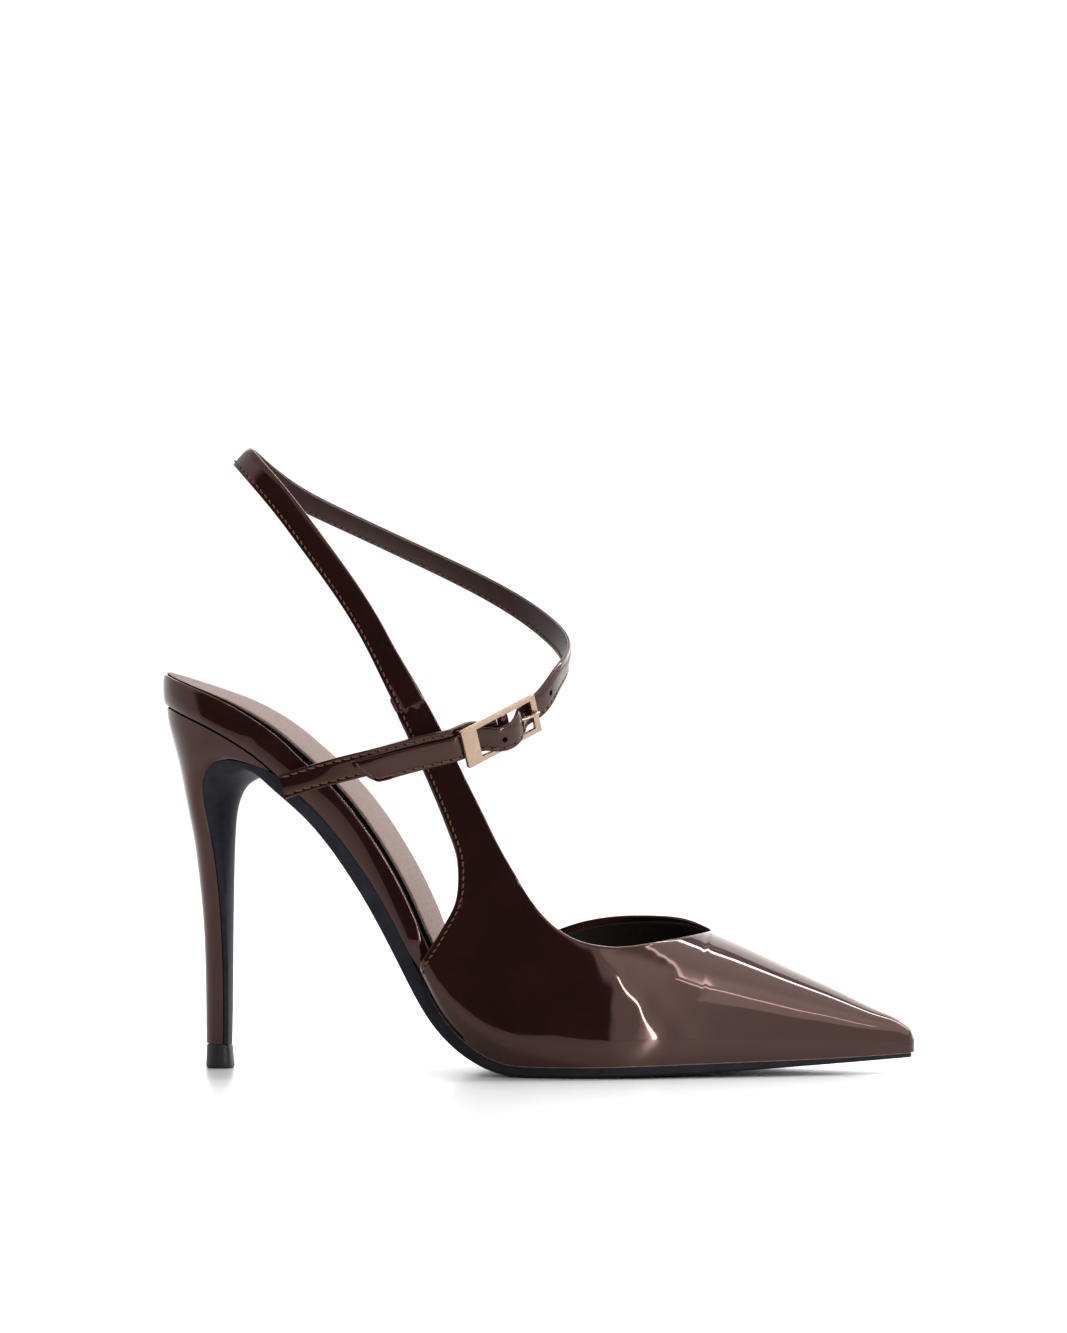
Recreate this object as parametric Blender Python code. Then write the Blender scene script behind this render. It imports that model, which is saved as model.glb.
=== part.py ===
"""Pointed patent slingback pump with a stiletto heel, right foot.

Sizes are in millimetres here and become metres when a mesh is made. +X points to the toe, +Z is up,
and the outer (little-toe) side is -Y. The shoe stands on its forefoot and its heel tip at Z = 0.
"""
import bmesh
import bpy
import numpy as np

MM = 0.001
ORIGIN = np.array((0.1, -1.73, 0.0))   # middle of the whole shoe's box, which becomes the part's origin
GAP = 0.3                 # clearance between pieces that touch
LIFT = GAP / 2            # half of it on each side of the feather line

# Driving sizes
TOE_X = 114.4             # tip of the toe
HEEL_X = -114.2           # back of the heel seat
HEEL_ROUND_X = -85.0      # the outline rounds off behind this
NOSE_RADIUS = 3.8         # round of the toe tip seen from above
APEX_X = 53.3             # point of the V throat
WALL = 1.6                # upper, patent and lining together
SECTION_POWER = 2.3       # fullness of the vamp's sections
SOLE_INSET = 0.8          # the outsole stays this far inside the upper
STRAP_WIDTH = 7.6
STRAP_THICK = 1.5
TOE_PULL = 2.4            # an inset outline draws back this much more at the sharp toe
TOE_PULL_X = 92.0         # from here on
SEAT_LENGTH = 28.0        # the footbed's thickness turns upright over this length of the heel seat
RUN_IN, RUN_LENGTH = 5.0, 3.0   # the footbed draws in this far behind the upper's edge, over this length
TOE_CLEAR = 1.2           # it draws in this much more at the toe tip
TOE_CLEAR_X, TOE_CLEAR_LENGTH = 50.0, 50.0   # from here on, over this length
SWELL_HEIGHT = 10.0       # the upper's wall has its full swell at this height
INNER_SWELL = 1.0         # at most, on the inner side
FULL_HALF_WIDTH = 9.0     # the swell fades out where the shoe's half width is less than this
BELLY, BELLY_HEIGHT = 0.8, 8.0   # both sides roll out this much more, up to this height
LEAN, LEAN_FROM, LEAN_TO = 1.5, 7.0, 38.0   # the outer side leans in this much between these heights
LEAN_START_X, LEAN_END_X = 25.0, -15.0   # more and more from the ball of the foot backwards
FLAT_START, FLAT_END = 0.0, 24.0   # part of the tread that lies on the floor
TOE_SPRING = 4.8          # height of the tread at the toe tip
SPRING_POWER = 1.3        # how evenly it rises from the flat to there

# Side profile of the feather line, where the upper and the footbed meet the outsole: x, z
PROFILE = (
    (-114.2, 111.2), (-104.0, 107.0), (-95.6, 103.2), (-88.0, 98.9), (-81.0, 94.0), (-74.6, 88.4),
    (-64.4, 79.2), (-56.3, 69.8), (-49.9, 61.0), (-44.6, 52.8), (-39.4, 43.4), (-34.6, 33.9),
    (-30.2, 25.2), (-25.2, 17.2), (-20.4, 11.9), (-15.2, 7.9), (-9.5, 5.1), (-4.0, 3.7), (2.0, 3.4),
    (24.0, 3.5), (60.0, 4.3), (90.0, 5.0), (114.4, 6.1),
)

# Outline of the feather line from above: x, outer y, inner y
OUTLINE = (
    (-85.0, -24.6, 24.4), (-70.0, -25.3, 24.6), (-50.0, -25.0, 22.4), (-30.0, -27.5, 20.4),
    (-10.0, -33.4, 25.0), (0.0, -36.2, 30.0), (10.0, -37.8, 34.6), (20.0, -37.8, 37.0),
    (30.0, -36.0, 36.8), (45.0, -31.0, 33.0), (60.0, -24.9, 27.4), (75.0, -18.6, 21.2),
    (90.0, -12.2, 14.6), (102.0, -7.0, 9.2), (112.2, -2.44, 4.44),
)

# Thickness of the footbed and of the outsole along the shoe: x, footbed, outsole
THICKNESS = (
    (-114.2, 9.6, 4.2), (-80.0, 9.6, 4.2), (-58.0, 9.4, 4.2), (-42.0, 8.0, 4.7), (-33.0, 6.6, 4.4),
    (-20.0, 5.0, 3.8), (0.0, 3.6, 3.4), (40.0, 3.0, 3.4), (90.0, 2.2, 2.9), (114.4, 2.0, 2.5),
)

# Rim of the footbed round the sock: x, height
RIM = ((-114.2, 1.9), (-98.0, 1.9), (-72.0, 1.2), (-20.0, 1.2), (10.0, 0.8), (114.4, 0.8))

# Top of the last along the shoe, the crest in front of the throat and the instep behind it: x, z
CREST = (
    (-40.0, 300.0), (-20.0, 185.0), (-8.0, 124.0), (5.0, 83.0), (16.7, 64.4), (26.0, 56.6), (36.0, 50.8),
    (44.0, 46.9), (53.3, 42.6), (62.0, 38.8), (72.0, 34.0), (82.5, 29.0), (93.0, 24.0), (104.0, 18.6),
    (110.0, 15.7), (112.3, 14.0), (113.6, 12.3), (114.4, 9.8),
)

# How far the outer wall swells past the feather line higher up: x, swell
SWELL = ((-45.0, 7.0), (-32.0, 6.0), (-20.0, 4.0), (-8.0, 2.0), (8.0, 0.9), (60.0, 0.7), (114.4, 0.3))

# Top edge of the upper seen from the side, from the throat's point backwards: x, z
OUTER_TOPLINE = (
    (53.3, 42.6), (47.2, 41.5), (40.0, 40.3), (32.0, 39.2), (25.5, 38.9), (19.4, 39.8), (14.2, 41.6),
    (9.0, 44.9), (2.4, 51.8), (-2.6, 59.3),
)
INNER_TOPLINE = (
    (53.3, 42.6), (49.2, 44.2), (43.7, 45.6), (36.0, 46.0), (26.3, 45.7), (16.7, 44.6), (4.9, 41.4),
    (-5.0, 36.6), (-14.0, 31.0), (-21.0, 26.6), (-27.0, 23.8),
)
# Side tab: its back edge from the sole to the waist, then both edges from the waist to its top end
TAB_BACK_LOW = ((-32.6, 29.8), (-31.4, 33.0), (-27.9, 38.8), (-23.3, 46.6), (-20.6, 52.4), (-19.8, 59.3))
TAB_BACK = ((-19.8, 59.3), (-20.3, 65.8), (-22.4, 72.2), (-25.3, 79.5), (-28.5, 87.0), (-33.0, 97.0),
            (-39.0, 109.4), (-42.4, 116.0))
TAB_FRONT = ((-2.6, 59.3), (-8.3, 68.9), (-13.2, 78.6), (-18.5, 89.1), (-23.6, 99.4), (-29.5, 110.6),
             (-32.6, 116.3))
INNER_BACK_X = -27.0      # where the low inner side meets the sole
OUTER_NECK_X = -14.0      # feather point below the front of the tab's waist

# Front of the heel, which the outsole runs down: centre x, z, edge x, z and half width of its face
BREAST = (
    (-83.4, 88.9, -86.6, 91.8, 22.4), (-88.4, 85.9, -93.2, 92.4, 19.4), (-91.0, 80.6, -97.6, 88.6, 15.6),
    (-92.0, 74.5, -98.2, 80.6, 12.4), (-92.5, 66.0, -96.4, 69.8, 9.6), (-92.8, 54.0, -94.8, 55.2, 7.2),
    (-93.0, 38.0, -94.0, 38.2, 5.4), (-93.2, 20.0, -93.8, 20.0, 4.6), (-93.4, 7.3, -94.0, 7.3, 4.2),
)
# Back of the heel at the same levels: x, z and how far the sides swell
HEEL_BACK = (
    (-112.2, 104.0, 1.6), (-110.4, 97.4, 1.6), (-108.4, 89.4, 1.3), (-106.3, 78.0, 1.0), (-104.6, 68.6, 0.8),
    (-103.1, 56.0, 0.6), (-101.8, 40.0, 0.5), (-101.3, 20.0, 0.4), (-101.2, 7.6, 0.4),
)
HEEL_TOP_FRONT = -78.2
HEEL_INSET = 1.0
FLAP_THICK = (2.0, 1.2)   # outsole on the heel, at the top and at the bottom
TIP_HEIGHT = 7.3

# Ankle strap from the tab round the ankle: x, y, z of its middle, and the width direction x, y, z
SLING_ROUTE = (
    (-34.9, -32.3, 110.6, 0.88, 0.02, 0.47), (-38.4, -31.9, 117.5, 0.87, 0.02, 0.49),
    (-44.9, -29.4, 130.0, 0.86, 0.03, 0.50), (-54.0, -25.2, 144.2, 0.84, 0.05, 0.53),
    (-65.0, -20.4, 158.6, 0.82, 0.08, 0.55), (-76.4, -14.9, 172.6, 0.78, 0.08, 0.62),
    (-86.2, -8.2, 183.0, 0.72, 0.04, 0.69), (-89.9, 0.0, 186.2, 0.68, 0.0, 0.73),
    (-86.2, 8.6, 182.2, 0.62, -0.28, 0.74), (-76.4, 16.2, 174.7, 0.50, -0.56, 0.72),
    (-61.8, 23.0, 167.0, 0.42, -0.68, 0.70), (-42.4, 28.2, 157.7, 0.40, -0.68, 0.71),
    (-23.4, 28.6, 148.6, 0.44, -0.62, 0.72), (-7.0, 24.0, 139.6, 0.45, -0.52, 0.77),
    (3.2, 15.5, 132.5, 0.40, -0.42, 0.84), (8.2, 5.5, 127.6, 0.30, -0.40, 0.87),
    (9.4, -4.5, 123.2, 0.15, -0.42, 0.89), (7.2, -13.8, 118.2, -0.02, -0.44, 0.89),
)
# Buckle: its middle and the way its straps run through it, then its own sizes
BUCKLE_AT = np.array((-7.6, -31.0, 103.4))
BUCKLE_ALONG = np.array((0.733, 0.540, 0.405))
BUCKLE_OUT = np.array((0.67, -0.70, -0.25))
BUCKLE_LENGTH, BUCKLE_HEIGHT, BUCKLE_THICK = 27.5, 12.4, 1.6
WIDE_BAR, THIN_BAR, RAIL = 5.4, 2.0, 1.6
CENTRE_BAR_AT, CENTRE_BAR_WIDTH = 1.5, 1.6
STRAP_UP = 0.4            # the fold and the prong are this far above the frame's middle
# Ankle strap through the frame, under the thin bar, over the centre bar, under the wide bar: along, up, out
FRAME_ROUTE = (
    (16.0, 0.6, -2.3), (13.6, 0.4, -2.1), (11.0, 0.3, -2.0), (7.4, 0.0, 0.3), (4.5, -0.7, 2.4),
    (1.5, -1.2, 3.2), (-1.8, -1.2, 2.6), (-4.7, -0.4, 0.4), (-7.8, -0.1, -2.0), (-11.0, 0.1, -2.1),
    (-14.0, 0.2, -2.1),
)
# Buckle strap under the wide bar and up to the centre bar: along, up, out
BAR_ROUTE = ((-14.0, 2.2, -4.2), (-11.0, 2.0, -4.2), (-7.8, 1.5, -4.1), (-4.9, 0.8, -2.3), (-2.9, 0.4, -1.2))
FOLD_THICK = 3.3          # buckle strap where it is folded round the centre bar
FOLD_BEFORE, FOLD_AFTER = 2.0, 1.8
PRONG_RADIUS = 0.55
PRONG_ROUTE = ((4.0, 0.2), (7.5, 0.95), (11.2, 1.75), (12.7, 1.75), (13.7, 1.4))
# Buckle strap from the heel seat forwards, its middle, and its width direction at either end
BUCKLE_STRAP = ((-73.6, -28.0, 86.4), (-58.3, -31.9, 91.0), (-44.0, -34.7, 94.7), (-33.0, -36.1, 97.8),
                (-26.4, -36.6, 99.4))
HEEL_WIDTH_WAY = np.array((-0.2, 0.07, 0.97))
TURN_START, TURN_LENGTH = -64.0, 38.0   # it turns to the buckle's direction from here, over this length
FREE_END_OUT = 2.1        # the ankle strap's free end lies this far out from the buckle strap
FREE_END_DROP = 2.2       # and this far below its middle
FREE_END_SHARES = (1.0, 0.78, 0.62, 0.46)   # its points, as shares of the way from the heel seat


def spline(knots, values):
    """Natural cubic spline through values (numbers or points) at rising knots."""
    knots, values = np.asarray(knots, float), np.asarray(values, float)
    count, step = len(knots), np.diff(knots)
    matrix, right = np.eye(count), np.zeros_like(values)
    for i in range(1, count - 1):
        matrix[i, i - 1:i + 2] = step[i - 1], 2 * (step[i - 1] + step[i]), step[i]
        right[i] = 6 * ((values[i + 1] - values[i]) / step[i] - (values[i] - values[i - 1]) / step[i - 1])
    bend = np.linalg.solve(matrix, right)

    def at(q):
        q = min(max(q, knots[0]), knots[-1])
        i = min(max(int(np.searchsorted(knots, q)) - 1, 0), count - 2)
        h, a, b = step[i], knots[i + 1] - q, q - knots[i]
        cubic = (bend[i] * a ** 3 + bend[i + 1] * b ** 3) / (6 * h)
        return cubic + (values[i] / h - bend[i] * h / 6) * a + (values[i + 1] / h - bend[i + 1] * h / 6) * b

    return at


def curve(points):
    """Smooth curve through points, called with 0 to 1 along its length."""
    points = np.asarray(points, float)
    chord = np.concatenate(([0.0], np.cumsum(np.linalg.norm(np.diff(points, axis=0), axis=1))))
    return spline(chord / chord[-1], points)


def column(table, index):
    rows = np.asarray(table, float)
    return spline(rows[:, 0], rows[:, index])


def ramp(q):
    """Smooth step from 0 to 1."""
    q = min(max(q, 0.0), 1.0)
    return q * q * (3 - 2 * q)


def unit(vector):
    vector = np.asarray(vector, float)
    return vector / np.linalg.norm(vector)


feather = column(PROFILE, 1)
outer_edge, inner_edge = column(OUTLINE, 1), column(OUTLINE, 2)
board_thick, sole_thick = column(THICKNESS, 1), column(THICKNESS, 2)
crest, swell = column(CREST, 1), column(SWELL, 1)


def middle(x):
    return (outer_edge(x) + inner_edge(x)) / 2


def half(x):
    """Half the outline's width, with a round heel and a round toe tip."""
    flat = (inner_edge(x) - outer_edge(x)) / 2
    if x < HEEL_ROUND_X:
        return flat * np.sqrt(max(0.0, 1 - ((x - HEEL_ROUND_X) / (HEEL_X - HEEL_ROUND_X)) ** 2))
    nose = TOE_X - NOSE_RADIUS
    if x > OUTLINE[-1][0]:
        return np.sqrt(max(0.0, NOSE_RADIUS ** 2 - (x - nose) ** 2))
    return flat


def drawn_in(x, inset):
    """Station and half width of the outline drawn in by inset, for the outline's own station x."""
    toe = ramp((x - TOE_PULL_X) / (TOE_X - TOE_PULL_X))
    heel = ramp((HEEL_ROUND_X - x) / (HEEL_ROUND_X - HEEL_X))
    at = x - toe * TOE_PULL * inset + heel * inset
    return at, half(x) * (1 - inset / max(half(at), 1.02 * inset)) if inset else half(x)


def rim(x):
    """Height of the footbed's rim."""
    return np.interp(x, [row[0] for row in RIM], [row[1] for row in RIM])


def upward(x):
    """Direction in which the footbed is thick: square to the profile, but upright at the heel's back."""
    slope = feather(x + 0.5) - feather(x - 0.5)
    share = ramp((x - HEEL_X) / SEAT_LENGTH)
    return unit((-slope * share, 1.0))


def heel_end(count):
    """Stations over the round heel, from its back to where the round starts."""
    turn = np.linspace(np.pi / 2, 0, count)
    return list(HEEL_ROUND_X + (HEEL_X - HEEL_ROUND_X) * np.sin(turn))


def toe_end(count):
    """Stations over the round toe tip."""
    start = np.arcsin((OUTLINE[-1][0] - TOE_X + NOSE_RADIUS) / NOSE_RADIUS)
    return list(TOE_X - NOSE_RADIUS + NOSE_RADIUS * np.sin(np.linspace(start, np.pi / 2, count)))


def material(name, colour, roughness, metallic=0.0):
    made = bpy.data.materials.new(name)
    made.use_nodes = True
    shader = made.node_tree.nodes["Principled BSDF"]
    shader.inputs["Base Color"].default_value = (*colour, 1.0)
    shader.inputs["Roughness"].default_value = roughness
    shader.inputs["Metallic"].default_value = metallic
    return made


def solid(name, points, faces, finish):
    """One closed object from points in millimetres; points that coincide are joined."""
    mesh = bpy.data.meshes.new(name)
    mesh.from_pydata([tuple((np.asarray(p, float) - ORIGIN) * MM) for p in points], [], faces)
    work = bmesh.new()
    work.from_mesh(mesh)
    bmesh.ops.remove_doubles(work, verts=work.verts, dist=2e-6)
    bmesh.ops.dissolve_degenerate(work, edges=work.edges, dist=2e-6)
    bmesh.ops.triangulate(work, faces=work.faces)
    bmesh.ops.recalc_face_normals(work, faces=work.faces)
    work.to_mesh(mesh)
    work.free()
    mesh.shade_smooth()
    mesh.set_sharp_from_angle(angle=np.radians(40))
    mesh.materials.append(finish)
    made = bpy.data.objects.new(name, mesh)
    bpy.context.collection.objects.link(made)
    return made


def loft(name, loops, finish, caps=(True, True)):
    """Closed solid through loops with the same number of points; an end with no cap has shrunk to a line."""
    size = len(loops[0])
    points = [p for loop in loops for p in loop]
    faces = []
    for k in range(len(loops) - 1):
        for j in range(size):
            a, b = k * size + j, k * size + (j + 1) % size
            faces.append((a, b, b + size, a + size))
    if caps[0]:
        faces.append(tuple(range(size)))
    if caps[1]:
        faces.append(tuple(range(len(points) - size, len(points))))
    return solid(name, points, faces, finish)


def shell_inset(x, z, side):
    """How far the footbed's side is drawn in to pass inside the upper, with a short run-in behind it."""
    if side < 0:
        edge = np.interp(z, [p[1] for p in TAB_BACK_LOW], [p[0] for p in TAB_BACK_LOW])
    else:
        edge = INNER_BACK_X
    inside = ramp((x - edge + RUN_IN) / RUN_LENGTH)
    return inside * (WALL + GAP + TOE_CLEAR * ramp((x - TOE_CLEAR_X) / TOE_CLEAR_LENGTH))


def board_point(x, side, height, extra=0.0):
    """Point on the footbed's side at a height above the feather line; side 0 is the middle."""
    rise = upward(x) * height
    inset = shell_inset(x + rise[0], feather(x) + rise[1], side) + extra
    at, width = drawn_in(x, inset)
    return np.array((at + rise[0], middle(at) + side * width, feather(at) + LIFT + rise[1]))


def footbed(finish):
    """Insole board wrapped in patent, with its sides a little full and a low rim round the sock."""
    stations = heel_end(9) + list(np.arange(-78.0, 112.0, 5.0)) + toe_end(4)
    loops = []
    for x in stations:
        thick = board_thick(x)
        loop = []
        for side in (-1, 1):
            half_loop = [board_point(x, side, 0.0, 0.4), board_point(x, side, 0.5 * thick),
                         board_point(x, side, thick, 0.5), board_point(x, side, thick, 1.0),
                         board_point(x, side, thick - rim(x), 1.1)]
            loop += half_loop if side < 0 else half_loop[::-1]
        loops.append(loop)
    return loft("footbed", loops, finish, caps=(False, False))


def sock(finish):
    """Padded lining on the footbed, a little crowned."""
    thick, crown, inset, taper = 1.6, 0.5, 1.6, 0.7
    loops = []
    for x in heel_end(9) + list(np.arange(-78.0, 112.0, 6.0)) + toe_end(4):
        base = board_thick(x) - rim(x) + GAP
        top = base + thick
        loops.append([board_point(x, -1, base, inset), board_point(x, -1, top, inset + taper),
                      board_point(x, 0, top + crown, inset + taper), board_point(x, 1, top, inset + taper),
                      board_point(x, 1, base, inset), board_point(x, 0, base, inset)])
    return loft("sock", loops, finish, caps=(False, False))


def tread(x):
    """Height of the tread where it is near the floor."""
    return TOE_SPRING * max(0.0, (x - FLAT_END) / (TOE_X - FLAT_END)) ** SPRING_POWER


def sole_section(x):
    """Five points across the outsole's top and its tread at one station."""
    at, width = drawn_in(x, SOLE_INSET)
    across = np.linspace(-1, 1, 5)
    top = [(at, middle(at) + s * width, feather(at) - LIFT) for s in across]
    if at >= FLAT_START:
        low_x, low_z = at, tread(at)
    else:
        rise = upward(at) * sole_thick(at)
        low_x, low_z = at - rise[0], max(0.0, feather(at) - rise[1])
    return top, [(low_x, middle(at) + s * width, low_z) for s in across]


def breast_section(level, depth):
    """Five points across the heel's front at one level, set back into the heel by depth."""
    rows = np.asarray(BREAST)
    before, after = rows[max(level - 1, 0), :2], rows[min(level + 1, len(rows) - 1), :2]
    run = unit(after - before)
    back = np.array((run[1], -run[0])) * depth
    cx, cz, ex, ez, width = rows[level]
    points = []
    for s in np.linspace(-1, 1, 5):
        place = np.array((cx, cz)) + (np.array((ex, ez)) - (cx, cz)) * s * s + back
        points.append((place[0], s * width, max(place[1], BREAST[-1][1])))
    return points


def flap_depth(level):
    share = level / (len(BREAST) - 1)
    return FLAP_THICK[0] + (FLAP_THICK[1] - FLAP_THICK[0]) * share


def outsole(finish):
    """Thin sole from the toe tip back under the arch and down the front of the heel."""
    stations = toe_end(4)[::-1] + list(np.arange(109.0, 26.0, -7.5)) + [FLAT_END, 16.0, 8.0, FLAT_START]
    stations += list(np.arange(-4.0, -77.0, -4.5))
    loops = []
    for x in stations:
        top, low = sole_section(x)
        loops.append(top + low[::-1])
    for level in range(len(BREAST)):
        loops.append(breast_section(level, flap_depth(level)) + breast_section(level, 0.0)[::-1])
    return loft("outsole", loops, finish, caps=(False, True))


def heel(finish):
    """Stiletto: from the heel seat to a slim column, with the outsole's flap on its front."""
    turn = np.linspace(0, np.pi, 13)[1:-1]
    loops = []
    front = [(HEEL_TOP_FRONT, s * (half(HEEL_TOP_FRONT) - HEEL_INSET), feather(HEEL_TOP_FRONT) - LIFT)
             for s in np.linspace(-1, 1, 5)]
    back = []
    for t in turn:
        x = HEEL_TOP_FRONT + (HEEL_X - HEEL_TOP_FRONT) * np.sin(t)
        at, width = drawn_in(x, HEEL_INSET)
        back.append((at, np.sign(np.cos(t)) * width if abs(np.cos(t)) > 1e-6 else 0.0, feather(at) - LIFT))
    loops.append(front + back)
    for level, (back_x, back_z, swelling) in enumerate(HEEL_BACK):
        front = breast_section(level, flap_depth(level) + GAP)
        ex, width, ez = front[-1]
        ring = []
        for t in turn:
            share = np.sin(t)
            y = width * np.cos(t) + swelling * np.sin(2 * t)
            ring.append((ex + (back_x - ex) * share, y, ez + (back_z - ez) * share))
        loops.append(front + ring)
    size, ring = len(loops[0]), len(turn)
    made = [p for loop in loops for p in loop]
    faces = []
    for k in range(len(loops) - 1):
        for j in range(size):
            a, b = k * size + j, k * size + (j + 1) % size
            faces.append((a, b, b + size, a + size))
    faces.append((0, 1, 2, 3, 4, 5, size - 1))
    for j in range(ring // 2):
        a, b = 5 + j, size - 1 - j
        faces.append((a, a + 1, b - 1, b) if a + 1 < b - 1 else (a, a + 1, b))
    faces.append(tuple(range(len(made) - size, len(made))))
    return solid("heel", made, faces, finish)


def heel_tip(finish):
    """Top piece under the heel, slightly wider at the floor."""
    levels = ((0.0, -101.2, -92.7, 4.7), (0.6, -101.3, -92.6, 4.8), (TIP_HEIGHT - GAP, -100.9, -93.4, 4.3))
    turn = np.linspace(0, 2 * np.pi, 21)[:-1]
    loops = []
    for z, back_x, front_x, width in levels:
        loop = []
        for t in turn:
            c, s = np.cos(t), np.sin(t)
            squarer = 0.5 if c > 0 else 1.0
            along = np.sign(c) * abs(c) ** squarer
            loop.append(((back_x + front_x) / 2 + (front_x - back_x) / 2 * along, width * s, z))
        loops.append(loop)
    return loft("heel_tip", loops, finish)


def last_point(x, theta, side, depth=0.0):
    """Point on the upper; theta runs from the feather line (0) to the crest, depth goes into the wall."""
    at, width = drawn_in(x, depth)
    base = feather(at) + LIFT
    tall = crest(at) - base - depth
    power = 2 / SECTION_POWER
    up = tall * max(np.sin(theta), 0.0) ** power
    fuller = swell(at) if side < 0 else min(swell(at), INNER_SWELL)
    fuller *= 1 - (1 - min(up / SWELL_HEIGHT, 1.0)) ** 2
    fuller += BELLY * (1 - (1 - min(up / BELLY_HEIGHT, 1.0)) ** 2)
    if side < 0:
        behind = ramp((at - LEAN_START_X) / (LEAN_END_X - LEAN_START_X))
        fuller -= LEAN * behind * min(max((up - LEAN_FROM) / (LEAN_TO - LEAN_FROM), 0.0), 1.0)
    width += fuller * ramp(half(x) / FULL_HALF_WIDTH)
    return np.array((at, middle(at) + side * width * max(np.cos(theta), 0.0) ** power, base + up))


def angle_at(x, z):
    """Section angle of the upper at height z."""
    base = feather(x) + LIFT
    share = min(max((z - base) / (crest(x) - base), 0.0), 1.0)
    return np.arcsin(share ** (SECTION_POWER / 2))


class Patch:
    """Collects grid points of the upper, given as station, section angle and side, and its faces."""

    def __init__(self):
        self.spots, self.faces, self.index = [], [], {}

    def spot(self, x, theta, side):
        key = (round(x, 5), round(theta, 5), side if theta < np.pi / 2 - 1e-6 else 0)
        if key not in self.index:
            self.index[key] = len(self.spots)
            self.spots.append((x, theta, side))
        return self.index[key]

    def grid(self, rows):
        """Quads between rows of (x, theta, side)."""
        ids = [[self.spot(*p) for p in row] for row in rows]
        for a, b in zip(ids, ids[1:]):
            for j in range(len(a) - 1):
                self.faces.append((a[j], a[j + 1], b[j + 1], b[j]))


def side_rows(top, bottom, back, side, rows):
    """Grid of one side behind the throat: columns from the feather line to the top edge."""
    count = len(top)
    levels = np.linspace(0, 1, rows + 1)
    back_line = curve(back)
    end = [np.array((x, angle_at(x, z))) for x, z in (back_line(v) for v in levels)]
    end[0][1] = 0.0
    grid = []
    for v, edge in zip(levels, end):
        row = []
        for i in range(count):
            low = np.array((bottom[i], 0.0))
            high = np.array((top[i][0], angle_at(*top[i])))
            spot = low + (high - low) * v
            bow = edge - (end[0] + (end[-1] - end[0]) * v)
            spot = spot + bow * (i / (count - 1)) ** 2.5
            row.append((spot[0], max(spot[1], 0.0), side))
        grid.append(row)
    return grid


def upper(finish):
    """Vamp, low inner side and tall outer tab as one wall, open at the throat and underneath."""
    rows = 8
    patch = Patch()
    angles = np.linspace(0, np.pi / 2, rows + 1)
    stations = list(np.linspace(APEX_X, 110.0, 12)) + toe_end(4)
    for side in (-1, 1):
        patch.grid([[(x, a, side) for x in stations] for a in angles])

    line, neck = curve(OUTER_TOPLINE), 4
    top = [tuple(line(q)) for q in np.linspace(0, 1, 12)]
    front, rear = np.array(OUTER_TOPLINE[-1]), np.array(TAB_BACK[0])
    top += [tuple(front + (rear - front) * k / neck) for k in range(1, neck + 1)]
    bottom = list(np.linspace(APEX_X, OUTER_NECK_X, 12))
    bottom += list(np.linspace(OUTER_NECK_X, TAB_BACK_LOW[0][0], neck + 1)[1:])
    lower = side_rows(top, bottom, TAB_BACK_LOW, -1, rows)
    lower[-1] = [(x, angle_at(x, z), -1) for x, z in top]
    patch.grid(lower)

    front_line, back_line = curve(TAB_FRONT), curve(TAB_BACK)
    tab = []
    for q in np.linspace(0, 1, 9):
        a, b = front_line(q), back_line(q)
        across = [a + (b - a) * k / neck for k in range(neck + 1)]
        tab.append([(x, angle_at(x, z), -1) for x, z in across])
    tab[0] = lower[-1][-neck - 1:]
    patch.grid(tab)

    line = curve(INNER_TOPLINE)
    top = [tuple(line(q)) for q in np.linspace(0, 1, 14)]
    bottom = list(np.linspace(APEX_X, INNER_BACK_X, 14))
    ends = ((INNER_BACK_X, feather(INNER_BACK_X) + LIFT), INNER_TOPLINE[-1])
    patch.grid(side_rows(top, bottom, ends, 1, rows))

    count = len(patch.spots)
    points = [last_point(x, t, s) for x, t, s in patch.spots]
    points += [last_point(x, t, s, WALL) for x, t, s in patch.spots]
    used = {}
    for face in patch.faces:
        for a, b in zip(face, face[1:] + face[:1]):
            used[frozenset((a, b))] = used.get(frozenset((a, b)), 0) + 1
    faces = list(patch.faces) + [tuple(i + count for i in f) for f in patch.faces]
    tip = {i for i, (x, t, s) in enumerate(patch.spots) if x > TOE_X - 1e-3}
    for pair, times in used.items():
        if times == 1 and not pair <= tip:
            a, b = tuple(pair)
            faces.append((a, b, b + count, a + count))
    return solid("upper", points, faces, finish)


def ribbon(name, centres, widths, finish, thick=None):
    """Strap with softened edges: centres, width directions, and the thickness at each."""
    centres = np.asarray(centres, float)
    loops = []
    for i, centre in enumerate(centres):
        run = unit(centres[min(i + 1, len(centres) - 1)] - centres[max(i - 1, 0)])
        wide = unit(widths[i] - run * np.dot(widths[i], run))
        out = np.cross(wide, run)
        deep = STRAP_THICK if thick is None else thick[i]
        loop = []
        for across, up in ((-0.5, -0.25), (-0.45, -0.5), (0.45, -0.5), (0.5, -0.25),
                           (0.5, 0.25), (0.45, 0.5), (-0.45, 0.5), (-0.5, 0.25)):
            loop.append(centre + wide * STRAP_WIDTH * across + out * deep * up)
        loops.append(loop)
    return loft(name, loops, finish)


buckle_along = unit(BUCKLE_ALONG)
buckle_out = unit(BUCKLE_OUT - buckle_along * np.dot(BUCKLE_OUT, buckle_along))
buckle_up = np.cross(buckle_out, buckle_along)


def in_buckle(along, up=0.0, out=0.0):
    """Point in the buckle's own directions."""
    return BUCKLE_AT + buckle_along * along + buckle_up * up + buckle_out * out


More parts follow.
